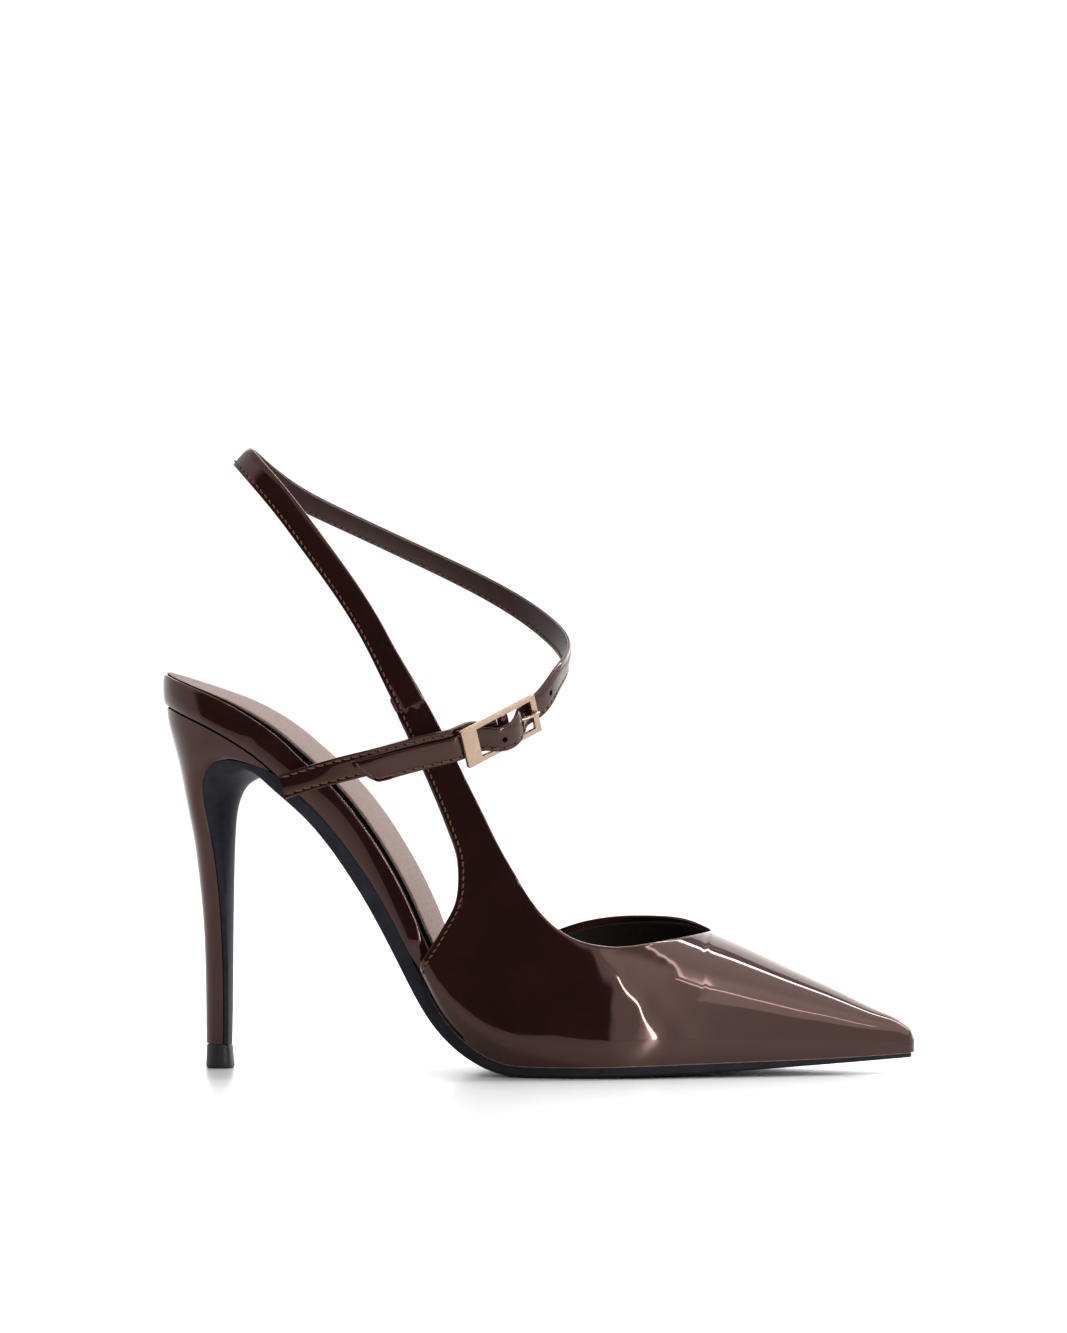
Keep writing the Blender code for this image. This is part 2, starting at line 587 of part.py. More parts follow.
def round_loop(centre, across, up, radius, count=10):
    """Circle of points about a centre."""
    turn = np.linspace(0, 2 * np.pi, count + 1)[:-1]
    return [centre + radius * (across * np.cos(t) + up * np.sin(t)) for t in turn]


def strap_route(rows, count):
    """Evenly spaced middles and width directions through rows of a middle and a width direction."""
    route = curve(rows)
    made = np.array([route(q) for q in np.linspace(0, 1, count)])
    return made[:, :3], made[:, 3:]


def outer_rows(out=0.0, drop=0.0):
    """Buckle strap from the heel seat to the buckle, or a strap moved out from it and down."""
    rows = []
    for place in BUCKLE_STRAP:
        share = ramp((place[0] - TURN_START) / TURN_LENGTH)
        way = HEEL_WIDTH_WAY + (buckle_up - HEEL_WIDTH_WAY) * share
        run = unit(np.subtract(BUCKLE_STRAP[-1], BUCKLE_STRAP[0]))
        moved = np.array(place) + np.cross(run, unit(way)) * out - unit(way) * drop
        rows.append(np.concatenate((moved, way)))
    return rows


def sling_strap(finish):
    """Ankle strap: tab, back of the ankle, inner side, instep, buckle, and its free end."""
    rows = list(np.asarray(SLING_ROUTE))
    rows += [np.concatenate((in_buckle(*place), buckle_up)) for place in FRAME_ROUTE]
    free = curve(outer_rows(FREE_END_OUT, FREE_END_DROP))
    rows += [free(q) for q in FREE_END_SHARES]
    strap = ribbon("sling_strap", *strap_route(rows, 90), finish)
    rings = []
    for along, out in (PRONG_ROUTE[0], PRONG_ROUTE[2]):
        rings.append(round_loop(in_buckle(along, STRAP_UP, out), buckle_up, buckle_out, PRONG_RADIUS + GAP))
    return cut(strap, loft("hole_cutter", rings, finish))


def cut(body, cutter):
    """Take a cutter out of a body and leave the cutter as a hidden guide."""
    cutter.hide_render = True
    cutter.display_type = "WIRE"
    carve = body.modifiers.new("opening", "BOOLEAN")
    carve.operation = "DIFFERENCE"
    carve.solver = "EXACT"
    carve.object = cutter
    return body


def buckle_strap(finish):
    """Strap from the heel seat to the centre bar, folded round the bar as a thicker end with a slot."""
    rows = outer_rows() + [np.concatenate((in_buckle(*place), buckle_up)) for place in BAR_ROUTE]
    centres, widths = strap_route(rows, 34)
    ends = [in_buckle(CENTRE_BAR_AT + a, STRAP_UP) for a in (-FOLD_BEFORE, FOLD_AFTER)]
    centres = np.vstack((centres, ends))
    widths = np.vstack((widths, [buckle_up, buckle_up]))
    thick = [STRAP_THICK] * (len(centres) - 2) + [FOLD_THICK, FOLD_THICK]
    strap = ribbon("buckle_strap", centres, widths, finish, thick)
    wide, tall = CENTRE_BAR_WIDTH / 2 + GAP, BUCKLE_THICK / 2 + GAP
    slot = block("bar_cutter", (CENTRE_BAR_AT - wide, CENTRE_BAR_AT + wide), (-STRAP_WIDTH, STRAP_WIDTH),
                 (-tall, tall), finish)
    return cut(strap, slot)


def block(name, xs, ys, zs, finish, filled=None):
    """Solid of box cells between planes in the buckle's directions; filled says which cells are there."""
    nx, ny, nz = len(xs) - 1, len(ys) - 1, len(zs) - 1
    points = [in_buckle(x, y, z) for x in xs for y in ys for z in zs]

    def corner(i, j, k):
        return (i * (ny + 1) + j) * (nz + 1) + k

    def there(i, j, k):
        inside = 0 <= i < nx and 0 <= j < ny and 0 <= k < nz
        return inside and (filled is None or filled(i, j, k))

    sides = {
        (1, 0, 0): ((1, 0, 0), (1, 1, 0), (1, 1, 1), (1, 0, 1)),
        (-1, 0, 0): ((0, 0, 0), (0, 0, 1), (0, 1, 1), (0, 1, 0)),
        (0, 1, 0): ((0, 1, 0), (0, 1, 1), (1, 1, 1), (1, 1, 0)),
        (0, -1, 0): ((0, 0, 0), (1, 0, 0), (1, 0, 1), (0, 0, 1)),
        (0, 0, 1): ((0, 0, 1), (1, 0, 1), (1, 1, 1), (0, 1, 1)),
        (0, 0, -1): ((0, 0, 0), (0, 1, 0), (1, 1, 0), (1, 0, 0)),
    }
    faces = []
    for i in range(nx):
        for j in range(ny):
            for k in range(nz):
                for (di, dj, dk), ring in sides.items():
                    if there(i, j, k) and not there(i + di, j + dj, k + dk):
                        faces.append(tuple(corner(i + a, j + b, k + c) for a, b, c in ring))
    keep = sorted({i for f in faces for i in f})
    place = {old: new for new, old in enumerate(keep)}
    return solid(name, [points[i] for i in keep], [tuple(place[i] for i in f) for f in faces], finish)


def buckle_frame(finish):
    """Frame of one wide bar, two rails and one thin bar, with a centre bar between the rails."""
    bar = CENTRE_BAR_WIDTH / 2
    end, side, deep = BUCKLE_LENGTH / 2, BUCKLE_HEIGHT / 2, BUCKLE_THICK / 2
    xs = (-end, -end + WIDE_BAR, CENTRE_BAR_AT - bar, CENTRE_BAR_AT + bar, end - THIN_BAR, end)
    ys = (-side, -side + RAIL, side - RAIL, side)
    return block("buckle_frame", xs, ys, (-deep, deep), finish, lambda i, j, k: j != 1 or i in (0, 2, 4))


def buckle_prong(finish):
    """Prong from beside the centre bar, through the strap's hole and over the thin bar."""
    loops = []
    for i, (along, out) in enumerate(PRONG_ROUTE):
        before, after = PRONG_ROUTE[max(i - 1, 0)], PRONG_ROUTE[min(i + 1, len(PRONG_ROUTE) - 1)]
        run = unit(np.subtract(after, before))
        square = buckle_along * -run[1] + buckle_out * run[0]
        loops.append(round_loop(in_buckle(along, STRAP_UP, out), buckle_up, square, PRONG_RADIUS))
    return loft("buckle_prong", loops, finish)


def main():
    for old in list(bpy.data.objects):
        bpy.data.objects.remove(old, do_unlink=True)
    brown = (0.047, 0.016, 0.012)
    upper(material("patent_vamp", brown, 0.12))
    footbed(material("patent_footbed", brown, 0.15))
    sock(material("sock_lining", (0.29, 0.23, 0.20), 0.7))
    outsole(material("sole_leather", (0.012, 0.013, 0.018), 0.4))
    heel(material("patent_heel", brown, 0.12))
    heel_tip(material("heel_rubber", (0.02, 0.02, 0.022), 0.6))
    sling_strap(material("patent_sling", brown, 0.15))
    buckle_strap(material("patent_strap", brown, 0.15))
    buckle_frame(material("pale_gold", (0.86, 0.66, 0.42), 0.2, 1.0))
    buckle_prong(material("pale_gold_prong", (0.86, 0.66, 0.42), 0.2, 1.0))


main()
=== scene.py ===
"""Looks of the pointed patent slingback pump, right foot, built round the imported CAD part.

Sizes are in millimetres here, in the shoe's own directions: +X to the toe, +Z up, outer side -Y.
They become metres about the part's origin when a mesh is made.
"""

import bmesh
import bpy
import numpy as np
from mathutils import Matrix, Vector


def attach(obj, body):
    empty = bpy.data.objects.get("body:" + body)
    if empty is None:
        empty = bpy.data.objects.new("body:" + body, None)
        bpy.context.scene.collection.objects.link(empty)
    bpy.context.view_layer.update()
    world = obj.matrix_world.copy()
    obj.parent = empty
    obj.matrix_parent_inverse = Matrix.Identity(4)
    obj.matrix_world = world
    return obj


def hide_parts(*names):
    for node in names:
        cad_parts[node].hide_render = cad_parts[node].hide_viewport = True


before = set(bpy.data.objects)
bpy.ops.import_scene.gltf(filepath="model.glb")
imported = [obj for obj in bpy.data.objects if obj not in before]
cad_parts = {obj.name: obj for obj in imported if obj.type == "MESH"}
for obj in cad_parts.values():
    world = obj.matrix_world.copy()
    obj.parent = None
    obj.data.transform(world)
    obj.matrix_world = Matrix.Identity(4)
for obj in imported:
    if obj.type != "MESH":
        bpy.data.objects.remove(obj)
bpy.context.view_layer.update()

MM = 0.001
ORIGIN = np.array((0.1, -1.73, 0.0))     # middle of the whole shoe's box, which is the part's origin
GAP = 0.3                # clearance between pieces that touch
LIFT = GAP / 2           # half of it on each side of the feather line
SHARP, SHARP_CUT = 40, 45                # degrees from which an edge is sharp, on a piece and on a cut one

# Driving sizes of the last and the sole
TOE_X, HEEL_X, HEEL_ROUND_X = 114.4, -114.2, -85.0
NOSE_RADIUS = 3.8
APEX_X = 53.3
WALL, PATENT = 1.6, 0.9  # the whole wall, and the patent's share of it
SECTION_POWER = 2.3
SOLE_INSET, TOE_EASE = 0.8, 0.45
TOE_PULL, TOE_PULL_X = 2.4, 92.0
SEAT_LENGTH = 28.0
RUN_IN, RUN_LENGTH = 5.0, 3.0
TOE_CLEAR, TOE_CLEAR_X, TOE_CLEAR_LENGTH = 1.2, 50.0, 50.0
SWELL_HEIGHT, INNER_SWELL = 10.0, 1.0
FULL_HALF_WIDTH = 9.0    # the swell fades out where the shoe's half width is less than this
BELLY, BELLY_HEIGHT = 0.8, 8.0       # the wall rolls under this much more near the sole
LEAN, LEAN_FROM, LEAN_TO = 1.5, 7.0, 38.0      # and leans in above that, behind the ball of the foot
LEAN_START_X, LEAN_END_X = 25.0, -15.0
FLAT_START, FLAT_END = 0.0, 24.0
TOE_SPRING, SPRING_POWER = 4.8, 1.3
STRAP_WIDTH, STRAP_THICK = 7.6, 1.5

# Side profile of the feather line: x, z
PROFILE = (
    (-114.2, 111.2), (-104.0, 107.0), (-95.6, 103.2), (-88.0, 98.9), (-81.0, 94.0), (-74.6, 88.4),
    (-64.4, 79.2), (-56.3, 69.8), (-49.9, 61.0), (-44.6, 52.8), (-39.4, 43.4), (-34.6, 33.9),
    (-30.2, 25.2), (-25.2, 17.2), (-20.4, 11.9), (-15.2, 7.9), (-9.5, 5.1), (-4.0, 3.7), (2.0, 3.4),
    (24.0, 3.5), (60.0, 4.3), (90.0, 5.0), (114.4, 6.1),
)
# Outline of the feather line from above: x, outer y, inner y
OUTLINE = (
    (-85.0, -24.6, 24.4), (-70.0, -25.3, 24.6), (-50.0, -25.0, 22.4), (-30.0, -27.5, 20.4),
    (-10.0, -33.4, 25.0), (0.0, -36.2, 30.0), (10.0, -37.8, 34.6), (20.0, -37.8, 37.0),
    (30.0, -36.0, 36.8), (45.0, -31.0, 33.0), (60.0, -24.9, 27.4), (75.0, -18.6, 21.2),
    (90.0, -12.2, 14.6), (102.0, -7.0, 9.2), (112.2, -2.44, 4.44),
)
# Thickness along the shoe: x, footbed, outsole
THICKNESS = (
    (-114.2, 9.6, 4.2), (-80.0, 9.6, 4.2), (-58.0, 9.4, 4.2), (-42.0, 8.0, 4.7), (-33.0, 6.6, 4.4),
    (-20.0, 5.0, 3.8), (0.0, 3.6, 3.4), (40.0, 3.0, 3.4), (90.0, 2.2, 2.9), (114.4, 2.0, 2.5),
)
# Rim of the footbed round the sock: x, height
RIM = ((-114.2, 1.9), (-98.0, 1.9), (-72.0, 1.2), (-20.0, 1.2), (10.0, 0.8), (114.4, 0.8))
# Top of the last along the shoe: x, z
CREST = (
    (-40.0, 300.0), (-20.0, 185.0), (-8.0, 124.0), (5.0, 83.0), (16.7, 64.4), (26.0, 56.6), (36.0, 50.8),
    (44.0, 46.9), (53.3, 42.6), (62.0, 38.8), (72.0, 34.0), (82.5, 29.0), (93.0, 24.0), (104.0, 18.6),
    (110.0, 15.7), (112.3, 14.0), (113.6, 12.3), (114.4, 9.8),
)
# How far the outer wall swells past the feather line higher up: x, swell
SWELL = ((-45.0, 7.0), (-32.0, 6.0), (-20.0, 4.0), (-8.0, 2.0), (8.0, 0.9), (60.0, 0.7), (114.4, 0.3))
# Top edges of the upper from the side: x, z
OUTER_TOPLINE = (
    (53.3, 42.6), (47.2, 41.5), (40.0, 40.3), (32.0, 39.2), (25.5, 38.9), (19.4, 39.8), (14.2, 41.6),
    (9.0, 44.9), (2.4, 51.8), (-2.6, 59.3),
)
INNER_TOPLINE = (
    (53.3, 42.6), (49.2, 44.2), (43.7, 45.6), (36.0, 46.0), (26.3, 45.7), (16.7, 44.6), (4.9, 41.4),
    (-5.0, 36.6), (-14.0, 31.0), (-21.0, 26.6), (-27.0, 23.8),
)
TAB_BACK_LOW = ((-32.6, 29.8), (-31.4, 33.0), (-27.9, 38.8), (-23.3, 46.6), (-20.6, 52.4), (-19.8, 59.3))
TAB_BACK = (
    (-19.8, 59.3), (-20.3, 65.8), (-22.4, 72.2), (-25.3, 79.5), (-28.5, 87.0), (-33.0, 97.0),
    (-39.0, 109.4), (-42.4, 116.0),
)
TAB_FRONT = (
    (-2.6, 59.3), (-8.3, 68.9), (-13.2, 78.6), (-18.5, 89.1), (-23.6, 99.4), (-29.5, 110.6), (-32.6, 116.3),
)
INNER_BACK_X, OUTER_NECK_X = -27.0, -14.0
TAB_TOP = 0.945          # share of the tab's lines at which it ends, under the strap
# Front of the heel: centre x, z, edge x, z and half width
BREAST = (
    (-83.4, 88.9, -86.6, 91.8, 21.5), (-88.4, 85.9, -93.2, 92.4, 19.0), (-91.0, 80.6, -97.6, 88.6, 15.6),
    (-92.0, 74.5, -98.2, 80.6, 12.4), (-92.5, 66.0, -96.4, 69.8, 9.6), (-92.8, 54.0, -94.8, 55.2, 7.2),
    (-93.0, 38.0, -94.0, 38.2, 5.4), (-93.2, 20.0, -93.8, 20.0, 4.6), (-93.4, 7.3, -94.0, 7.3, 4.2),
)
# Back of the heel at the same levels: x, z and how far the sides swell
HEEL_BACK = (
    (-112.2, 104.0, 0.7), (-110.4, 97.4, 1.1), (-108.4, 89.4, 1.3), (-106.3, 78.0, 1.0), (-104.6, 68.6, 0.8),
    (-103.1, 56.0, 0.6), (-101.8, 40.0, 0.5), (-101.3, 20.0, 0.4), (-101.2, 7.6, 0.4),
)
HEEL_TOP_FRONT, HEEL_INSET, HEEL_DROP = -78.2, 1.1, 0.65
FLAP_THICK = (2.0, 1.2)
# Ankle strap: x, y, z of its middle, and the width direction x, y, z
SLING_ROUTE = (
    (-34.9, -32.0, 110.6, 0.88, 0.02, 0.47), (-38.4, -31.7, 117.5, 0.87, 0.02, 0.49),
    (-44.9, -29.4, 130.0, 0.86, 0.03, 0.50), (-54.0, -25.2, 144.2, 0.84, 0.05, 0.53),
    (-65.0, -20.4, 158.6, 0.82, 0.08, 0.55), (-76.4, -14.9, 172.6, 0.78, 0.08, 0.62),
    (-86.2, -8.2, 183.0, 0.72, 0.04, 0.69), (-89.9, 0.0, 186.2, 0.68, 0.0, 0.73),
    (-86.2, 8.6, 182.2, 0.62, -0.28, 0.74), (-76.4, 16.2, 174.7, 0.50, -0.56, 0.72),
    (-61.8, 23.0, 167.0, 0.42, -0.68, 0.70), (-42.4, 28.2, 157.7, 0.40, -0.68, 0.71),
    (-23.4, 28.6, 148.6, 0.44, -0.62, 0.72), (-7.0, 24.0, 139.6, 0.45, -0.52, 0.77),
    (3.2, 15.5, 132.5, 0.40, -0.42, 0.84), (8.2, 5.5, 127.6, 0.30, -0.40, 0.87),
    (9.4, -4.5, 123.2, 0.15, -0.42, 0.89), (7.2, -13.8, 118.2, -0.02, -0.44, 0.89),
)
# Buckle: its middle, the way its straps run through it, and its sizes
BUCKLE_AT = np.array((-7.6, -31.0, 103.4))
BUCKLE_ALONG = np.array((0.733, 0.540, 0.405))
BUCKLE_OUT = np.array((0.67, -0.70, -0.25))
BUCKLE_LENGTH, BUCKLE_HEIGHT, BUCKLE_THICK = 27.5, 12.4, 1.6
WIDE_BAR, THIN_BAR, RAIL = 5.4, 2.0, 1.6
CENTRE_BAR_AT, CENTRE_BAR_WIDTH = 1.5, 1.6
STRAP_UP = 0.4
# Ankle strap through the frame: along, up from the frame's middle, out
FRAME_ROUTE = (
    (16.0, 0.6, -2.3), (13.6, 0.4, -2.1), (11.0, 0.3, -2.0), (7.4, 0.0, 0.3), (4.5, -0.7, 2.4),
    (1.5, -1.2, 3.2), (-1.8, -1.2, 2.6), (-4.7, -0.4, 0.4), (-7.8, -0.1, -2.0), (-11.0, 0.1, -2.1),
    (-14.0, 0.2, -2.1),
)
OVER_BAR = FRAME_ROUTE[6][1:]        # up and out where it leaves the centre bar
# Buckle strap from behind the frame to its centre bar: along, up, out
BAR_ROUTE = ((-14.0, 2.2, -4.2), (-11.0, 2.0, -4.2), (-7.8, 1.5, -4.1), (-4.9, 0.8, -2.3), (-2.9, 0.4, -1.2))
FOLD_THICK, FOLD_BEFORE, FOLD_AFTER = 3.3, 2.0, 1.8
PRONG_RADIUS = 0.55
PRONG_HUB, PRONG_HUB_UP, HUB_WIRE = 1.6, 1.6, 0.45      # loop of the prong round the centre bar
PRONG_ROUTE = ((4.0, 0.2), (7.5, 0.95), (11.2, 1.75), (12.7, 1.75), (13.7, 1.4))
# Buckle strap from the heel seat forwards: x, y, z of its middle
BUCKLE_STRAP = (
    (-73.6, -28.0, 86.4), (-58.3, -31.9, 91.0), (-44.0, -34.7, 94.7), (-33.0, -36.1, 97.8),
    (-26.4, -36.6, 99.4),
)
HEEL_WIDTH_WAY = np.array((-0.2, 0.07, 0.97))
TURN_START, TURN_LENGTH = -64.0, 38.0
FREE_END_OUT, FREE_END_DROP = 2.1, 2.2
FREE_END_SHARES = (1.0, 0.78, 0.62, 0.46)
SLANT, SLANT_LENGTH, TIP_ROUND = 7.0, 16.0, 1.2      # cut of the strap's free end
FREE_LENGTH = 62.0                                   # of the strap past the frame's front
FLARE, FLARE_LENGTH = 1.3, 22.0                      # the strap widens to the tab
HOLE_AT, HOLE_PITCH, HOLE_RADIUS, HOLES = -1.0, 8.2, 0.85, 4


def spline(knots, values):
    """Natural cubic spline through values at rising knots, for one place or an array of them."""
    knots, values = np.asarray(knots, float), np.asarray(values, float)
    count, step = len(knots), np.diff(knots)
    matrix, right = np.eye(count), np.zeros_like(values)
    for i in range(1, count - 1):
        matrix[i, i - 1:i + 2] = step[i - 1], 2 * (step[i - 1] + step[i]), step[i]
        right[i] = 6 * ((values[i + 1] - values[i]) / step[i] - (values[i] - values[i - 1]) / step[i - 1])
    flat = right.reshape(count, -1)
    bend = np.linalg.solve(matrix, flat).reshape(values.shape)

    def at(q):
        q = np.clip(np.asarray(q, float), knots[0], knots[-1])
        i = np.clip(np.searchsorted(knots, q) - 1, 0, count - 2)
        h, a, b = step[i], knots[i + 1] - q, q - knots[i]
        extra = (1,) * (values.ndim - 1)
        h, a, b = (np.reshape(v, np.shape(v) + extra) for v in (h, a, b))
        cubic = (bend[i] * a ** 3 + bend[i + 1] * b ** 3) / (6 * h)
        return cubic + (values[i] / h - bend[i] * h / 6) * a + (values[i + 1] / h - bend[i + 1] * h / 6) * b

    return at


def run_along(points):
    """Distance of each point, or loop of points, from the first one."""
    gaps = np.diff(points, axis=0).reshape(len(points) - 1, -1)
    return np.concatenate(([0.0], np.cumsum(np.linalg.norm(gaps, axis=1))))


def between(far, run, rows):
    """Rows of points or directions at distances along a run."""
    return np.stack([np.interp(far, run, rows[:, k]) for k in range(3)], -1)


def ring(count):
    """Angles once round."""
    return np.linspace(0, 2 * np.pi, count + 1)[:-1]


def curve(points):
    """Smooth curve through points or loops of points, called with 0 to 1 along its length."""
    points = np.asarray(points, float)
    chord = run_along(points)
    return spline(chord / chord[-1], points)


def column(table, index):
    rows = np.asarray(table, float)
    return spline(rows[:, 0], rows[:, index])


def ramp(q):
    """Smooth step from 0 to 1."""
    q = np.clip(q, 0.0, 1.0)
    return q * q * (3 - 2 * q)


def unit(vectors):
    vectors = np.asarray(vectors, float)
    return vectors / np.linalg.norm(vectors, axis=-1, keepdims=True)


feather = column(PROFILE, 1)
outer_edge, inner_edge = column(OUTLINE, 1), column(OUTLINE, 2)
board_thick, sole_thick = column(THICKNESS, 1), column(THICKNESS, 2)
crest, swell = column(CREST, 1), column(SWELL, 1)


def middle(x):
    return (outer_edge(x) + inner_edge(x)) / 2


def half(x):
    """Half the outline's width, with a round heel and a round toe tip."""
    x = np.asarray(x, float)
    flat = (inner_edge(x) - outer_edge(x)) / 2
    round_heel = np.sqrt(np.maximum(0.0, 1 - ((x - HEEL_ROUND_X) / (HEEL_X - HEEL_ROUND_X)) ** 2))
    nose = np.sqrt(np.maximum(0.0, NOSE_RADIUS ** 2 - (x - TOE_X + NOSE_RADIUS) ** 2))
    return np.where(x < HEEL_ROUND_X, flat * round_heel, np.where(x > OUTLINE[-1][0], nose, flat))


def drawn_in(x, inset):
    """Station and half width of the outline drawn in by inset, for the outline's own station x."""
    inset = np.asarray(inset, float)
    toe = ramp((x - TOE_PULL_X) / (TOE_X - TOE_PULL_X))
    heel = ramp((HEEL_ROUND_X - x) / (HEEL_ROUND_X - HEEL_X))
    at = x - toe * TOE_PULL * inset + heel * inset
    share = 1 - inset / np.maximum(np.maximum(half(at), 1.02 * inset), 1e-9)
    return at, half(x) * np.where(inset > 0, share, 1.0)


def straight(x, table, index):
    """A table's column at x, in straight lines between its rows."""
    rows = np.asarray(table)
    return np.interp(x, rows[:, 0], rows[:, index])


def upward(x):
    """Direction in which the footbed is thick, as x and z."""
    slope = feather(x + 0.5) - feather(x - 0.5)
    share = ramp((x - HEEL_X) / SEAT_LENGTH)
    return unit(np.stack((-slope * share, np.ones_like(slope)), -1))


def outline(x, inset, side, rise):
    """Points on the outline drawn in by inset, at a rise above the feather line."""
    at, width = drawn_in(x, inset)
    return np.stack((at, middle(at) + side * width, feather(at) + rise), -1)


def heel_end(count):
    turn = np.linspace(np.pi / 2, 0, count)
    return list(HEEL_ROUND_X + (HEEL_X - HEEL_ROUND_X) * np.sin(turn))


def toe_end(count):
    start = np.arcsin((OUTLINE[-1][0] - TOE_X + NOSE_RADIUS) / NOSE_RADIUS)
    return list(TOE_X - NOSE_RADIUS + NOSE_RADIUS * np.sin(np.linspace(start, np.pi / 2, count)))


# Materials. Every one has its own noise, grain or bump, all from nodes in object space.

def make_material(name, colour, roughness, **settings):
    """Principled material with constant values on the shader's own sockets."""
    made = bpy.data.materials.new(name)
    made.use_nodes = True
    shader = made.node_tree.nodes["Principled BSDF"]
    shader.inputs["Base Color"].default_value = (*colour, 1.0)
    shader.inputs["Roughness"].default_value = roughness
    for socket, value in settings.items():
        shader.inputs[socket.replace("_", " ")].default_value = value
    return made


def add_node(made, kind, links=(), **values):
    """Node of a material with its values set and its inputs linked as (input, node, output)."""
    node = made.node_tree.nodes.new(kind)
    for key, value in values.items():
        if hasattr(node, key):
            setattr(node, key, value)
        else:
            node.inputs[key.replace("_", " ")].default_value = value
    for socket, other, output in links:
        made.node_tree.links.new(other.outputs[output], node.inputs[socket])
    return node


def noise(made, scale, detail=3.0, roughness=0.5):
    place = add_node(made, "ShaderNodeTexCoord")
    return add_node(made, "ShaderNodeTexNoise", [("Vector", place, "Object")],
                    Scale=scale, Detail=detail, Roughness=roughness)


def tone(made, source, output, stops, socket="Base Color"):
    """Feeds the shader from a colour ramp over a texture."""
    band = add_node(made, "ShaderNodeValToRGB", [("Fac", source, output)])
    while len(band.color_ramp.elements) < len(stops):
        band.color_ramp.elements.new(0.5)
    for element, (place, colour) in zip(band.color_ramp.elements, stops):
        element.position = place
        element.color = (*colour, 1.0) if len(colour) == 3 else (colour[0], colour[0], colour[0], 1.0)
    shader = made.node_tree.nodes["Principled BSDF"]
    made.node_tree.links.new(band.outputs["Color"], shader.inputs[socket])


def bump(made, layers):
    """Chain of bumps: (texture node, output, strength, distance in metres)."""
    shader = made.node_tree.nodes["Principled BSDF"]
    last = None
    for source, output, strength, distance in layers:
        links = [("Height", source, output)]
        if last is not None:
            links.append(("Normal", last, "Normal"))
        last = add_node(made, "ShaderNodeBump", links, Strength=strength, Distance=distance)
    made.node_tree.links.new(last.outputs["Normal"], shader.inputs["Normal"])


def patent_leather(name):
    made = make_material(name, (0.020, 0.0070, 0.0055), 0.05, Specular_IOR_Level=0.62,
                         Specular_Tint=(1.0, 0.64, 0.58, 1.0))
    tone(made, noise(made, 55.0, 4.0), "Fac",
         ((0.30, (0.016, 0.0056, 0.0043)), (0.55, (0.020, 0.0070, 0.0055)), (0.75, (0.024, 0.0084, 0.0066))))
    tone(made, noise(made, 130.0, 5.0, 0.6), "Fac", ((0.35, (0.035,)), (0.70, (0.075,))), "Roughness")
    bump(made, [(noise(made, 70.0, 2.0), "Fac", 0.04, 0.0004),
                (noise(made, 900.0, 2.0), "Fac", 0.015, 0.00004)])
    return made


def grain_leather(name, dark, light, roughness, scale, depth, shine=0.5, pebbled=False):
    """Unpolished leather: fine cells with a little colour in them."""
    made = make_material(name, light, roughness, Specular_IOR_Level=shine)
    place = add_node(made, "ShaderNodeTexCoord")
    cells = add_node(made, "ShaderNodeTexVoronoi", [("Vector", place, "Object")], Scale=scale)
    if pebbled:
        tone(made, cells, "Distance", ((0.10, light), (0.62, dark)))
    else:
        tone(made, noise(made, scale * 0.45, 5.0, 0.65), "Fac", ((0.32, dark), (0.68, light)))
    bump(made, [(cells, "Distance", 0.5, depth), (noise(made, scale * 2.2, 4.0), "Fac", 0.4, depth)])
    return made


patent = patent_leather("patent_brown")
black_lining = grain_leather("black_lining", (0.020, 0.0165, 0.0160), (0.034, 0.0290, 0.0280), 0.65, 900.0,
                             0.00004, 0.2)
# Near-black with almost no shine: painted shade, laid in the heel seam's gap, the needle holes and the gap
# inside the sock's rim
black_edge_and_painted_shade = grain_leather("black_edge_and_painted_shade", (0.0015, 0.0014, 0.0014), (0.0030, 0.0028, 0.0028), 0.9, 900.0,
                           0.00004, 0.03)
strap_lining = grain_leather("strap_lining", (0.026, 0.0095, 0.0075), (0.036, 0.0140, 0.0110), 0.36, 700.0,
                             0.00002, 0.35)
sock_leather = grain_leather("sock_taupe", (0.132, 0.084, 0.071), (0.190, 0.124, 0.105), 0.60, 900.0,
                             0.00050, 0.10, pebbled=True)
sole_leather = grain_leather("sole_navy", (0.0175, 0.0180, 0.0240), (0.0270, 0.0275, 0.0360), 0.50, 420.0,
                             0.00004, 0.06)
rubber = grain_leather("tip_charcoal", (0.010, 0.010, 0.013), (0.018, 0.018, 0.023), 0.50, 520.0,
                       0.00008, 0.4)
thread = grain_leather("rust_thread", (0.085, 0.026, 0.012), (0.165, 0.058, 0.028), 0.65, 2600.0, 0.00004)
glue = grain_leather("tan_edge", (0.13, 0.075, 0.036), (0.28, 0.18, 0.095), 0.50, 900.0, 0.00005)

gold = make_material("pale_gold", (0.41, 0.30, 0.215), 0.22, Metallic=1.0)
tone(gold, noise(gold, 420.0, 4.0), "Fac", ((0.3, (0.385, 0.280, 0.200)), (0.7, (0.435, 0.320, 0.230))))
tone(gold, noise(gold, 700.0, 5.0), "Fac", ((0.3, (0.18,)), (0.7, (0.28,))), "Roughness")
bump(gold, [(noise(gold, 1500.0, 3.0), "Fac", 0.05, 0.00005)])


def add_object(name, data):
    made = bpy.data.objects.new(name, data)
    bpy.context.scene.collection.objects.link(made)
    return made


def new_mesh(name, points, faces):
    """Mesh from points in millimetres, with points that coincide joined and its faces turned outwards."""
    mesh = bpy.data.meshes.new(name)
    mesh.from_pydata(((np.asarray(points, float) - ORIGIN) * MM).tolist(), [], [tuple(f) for f in faces])
    work = bmesh.new()
    work.from_mesh(mesh)
    bmesh.ops.remove_doubles(work, verts=work.verts, dist=2e-6)
    bmesh.ops.dissolve_degenerate(work, edges=work.edges, dist=1e-6)
    bmesh.ops.recalc_face_normals(work, faces=work.faces)
    work.to_mesh(mesh)
    work.free()
    return mesh


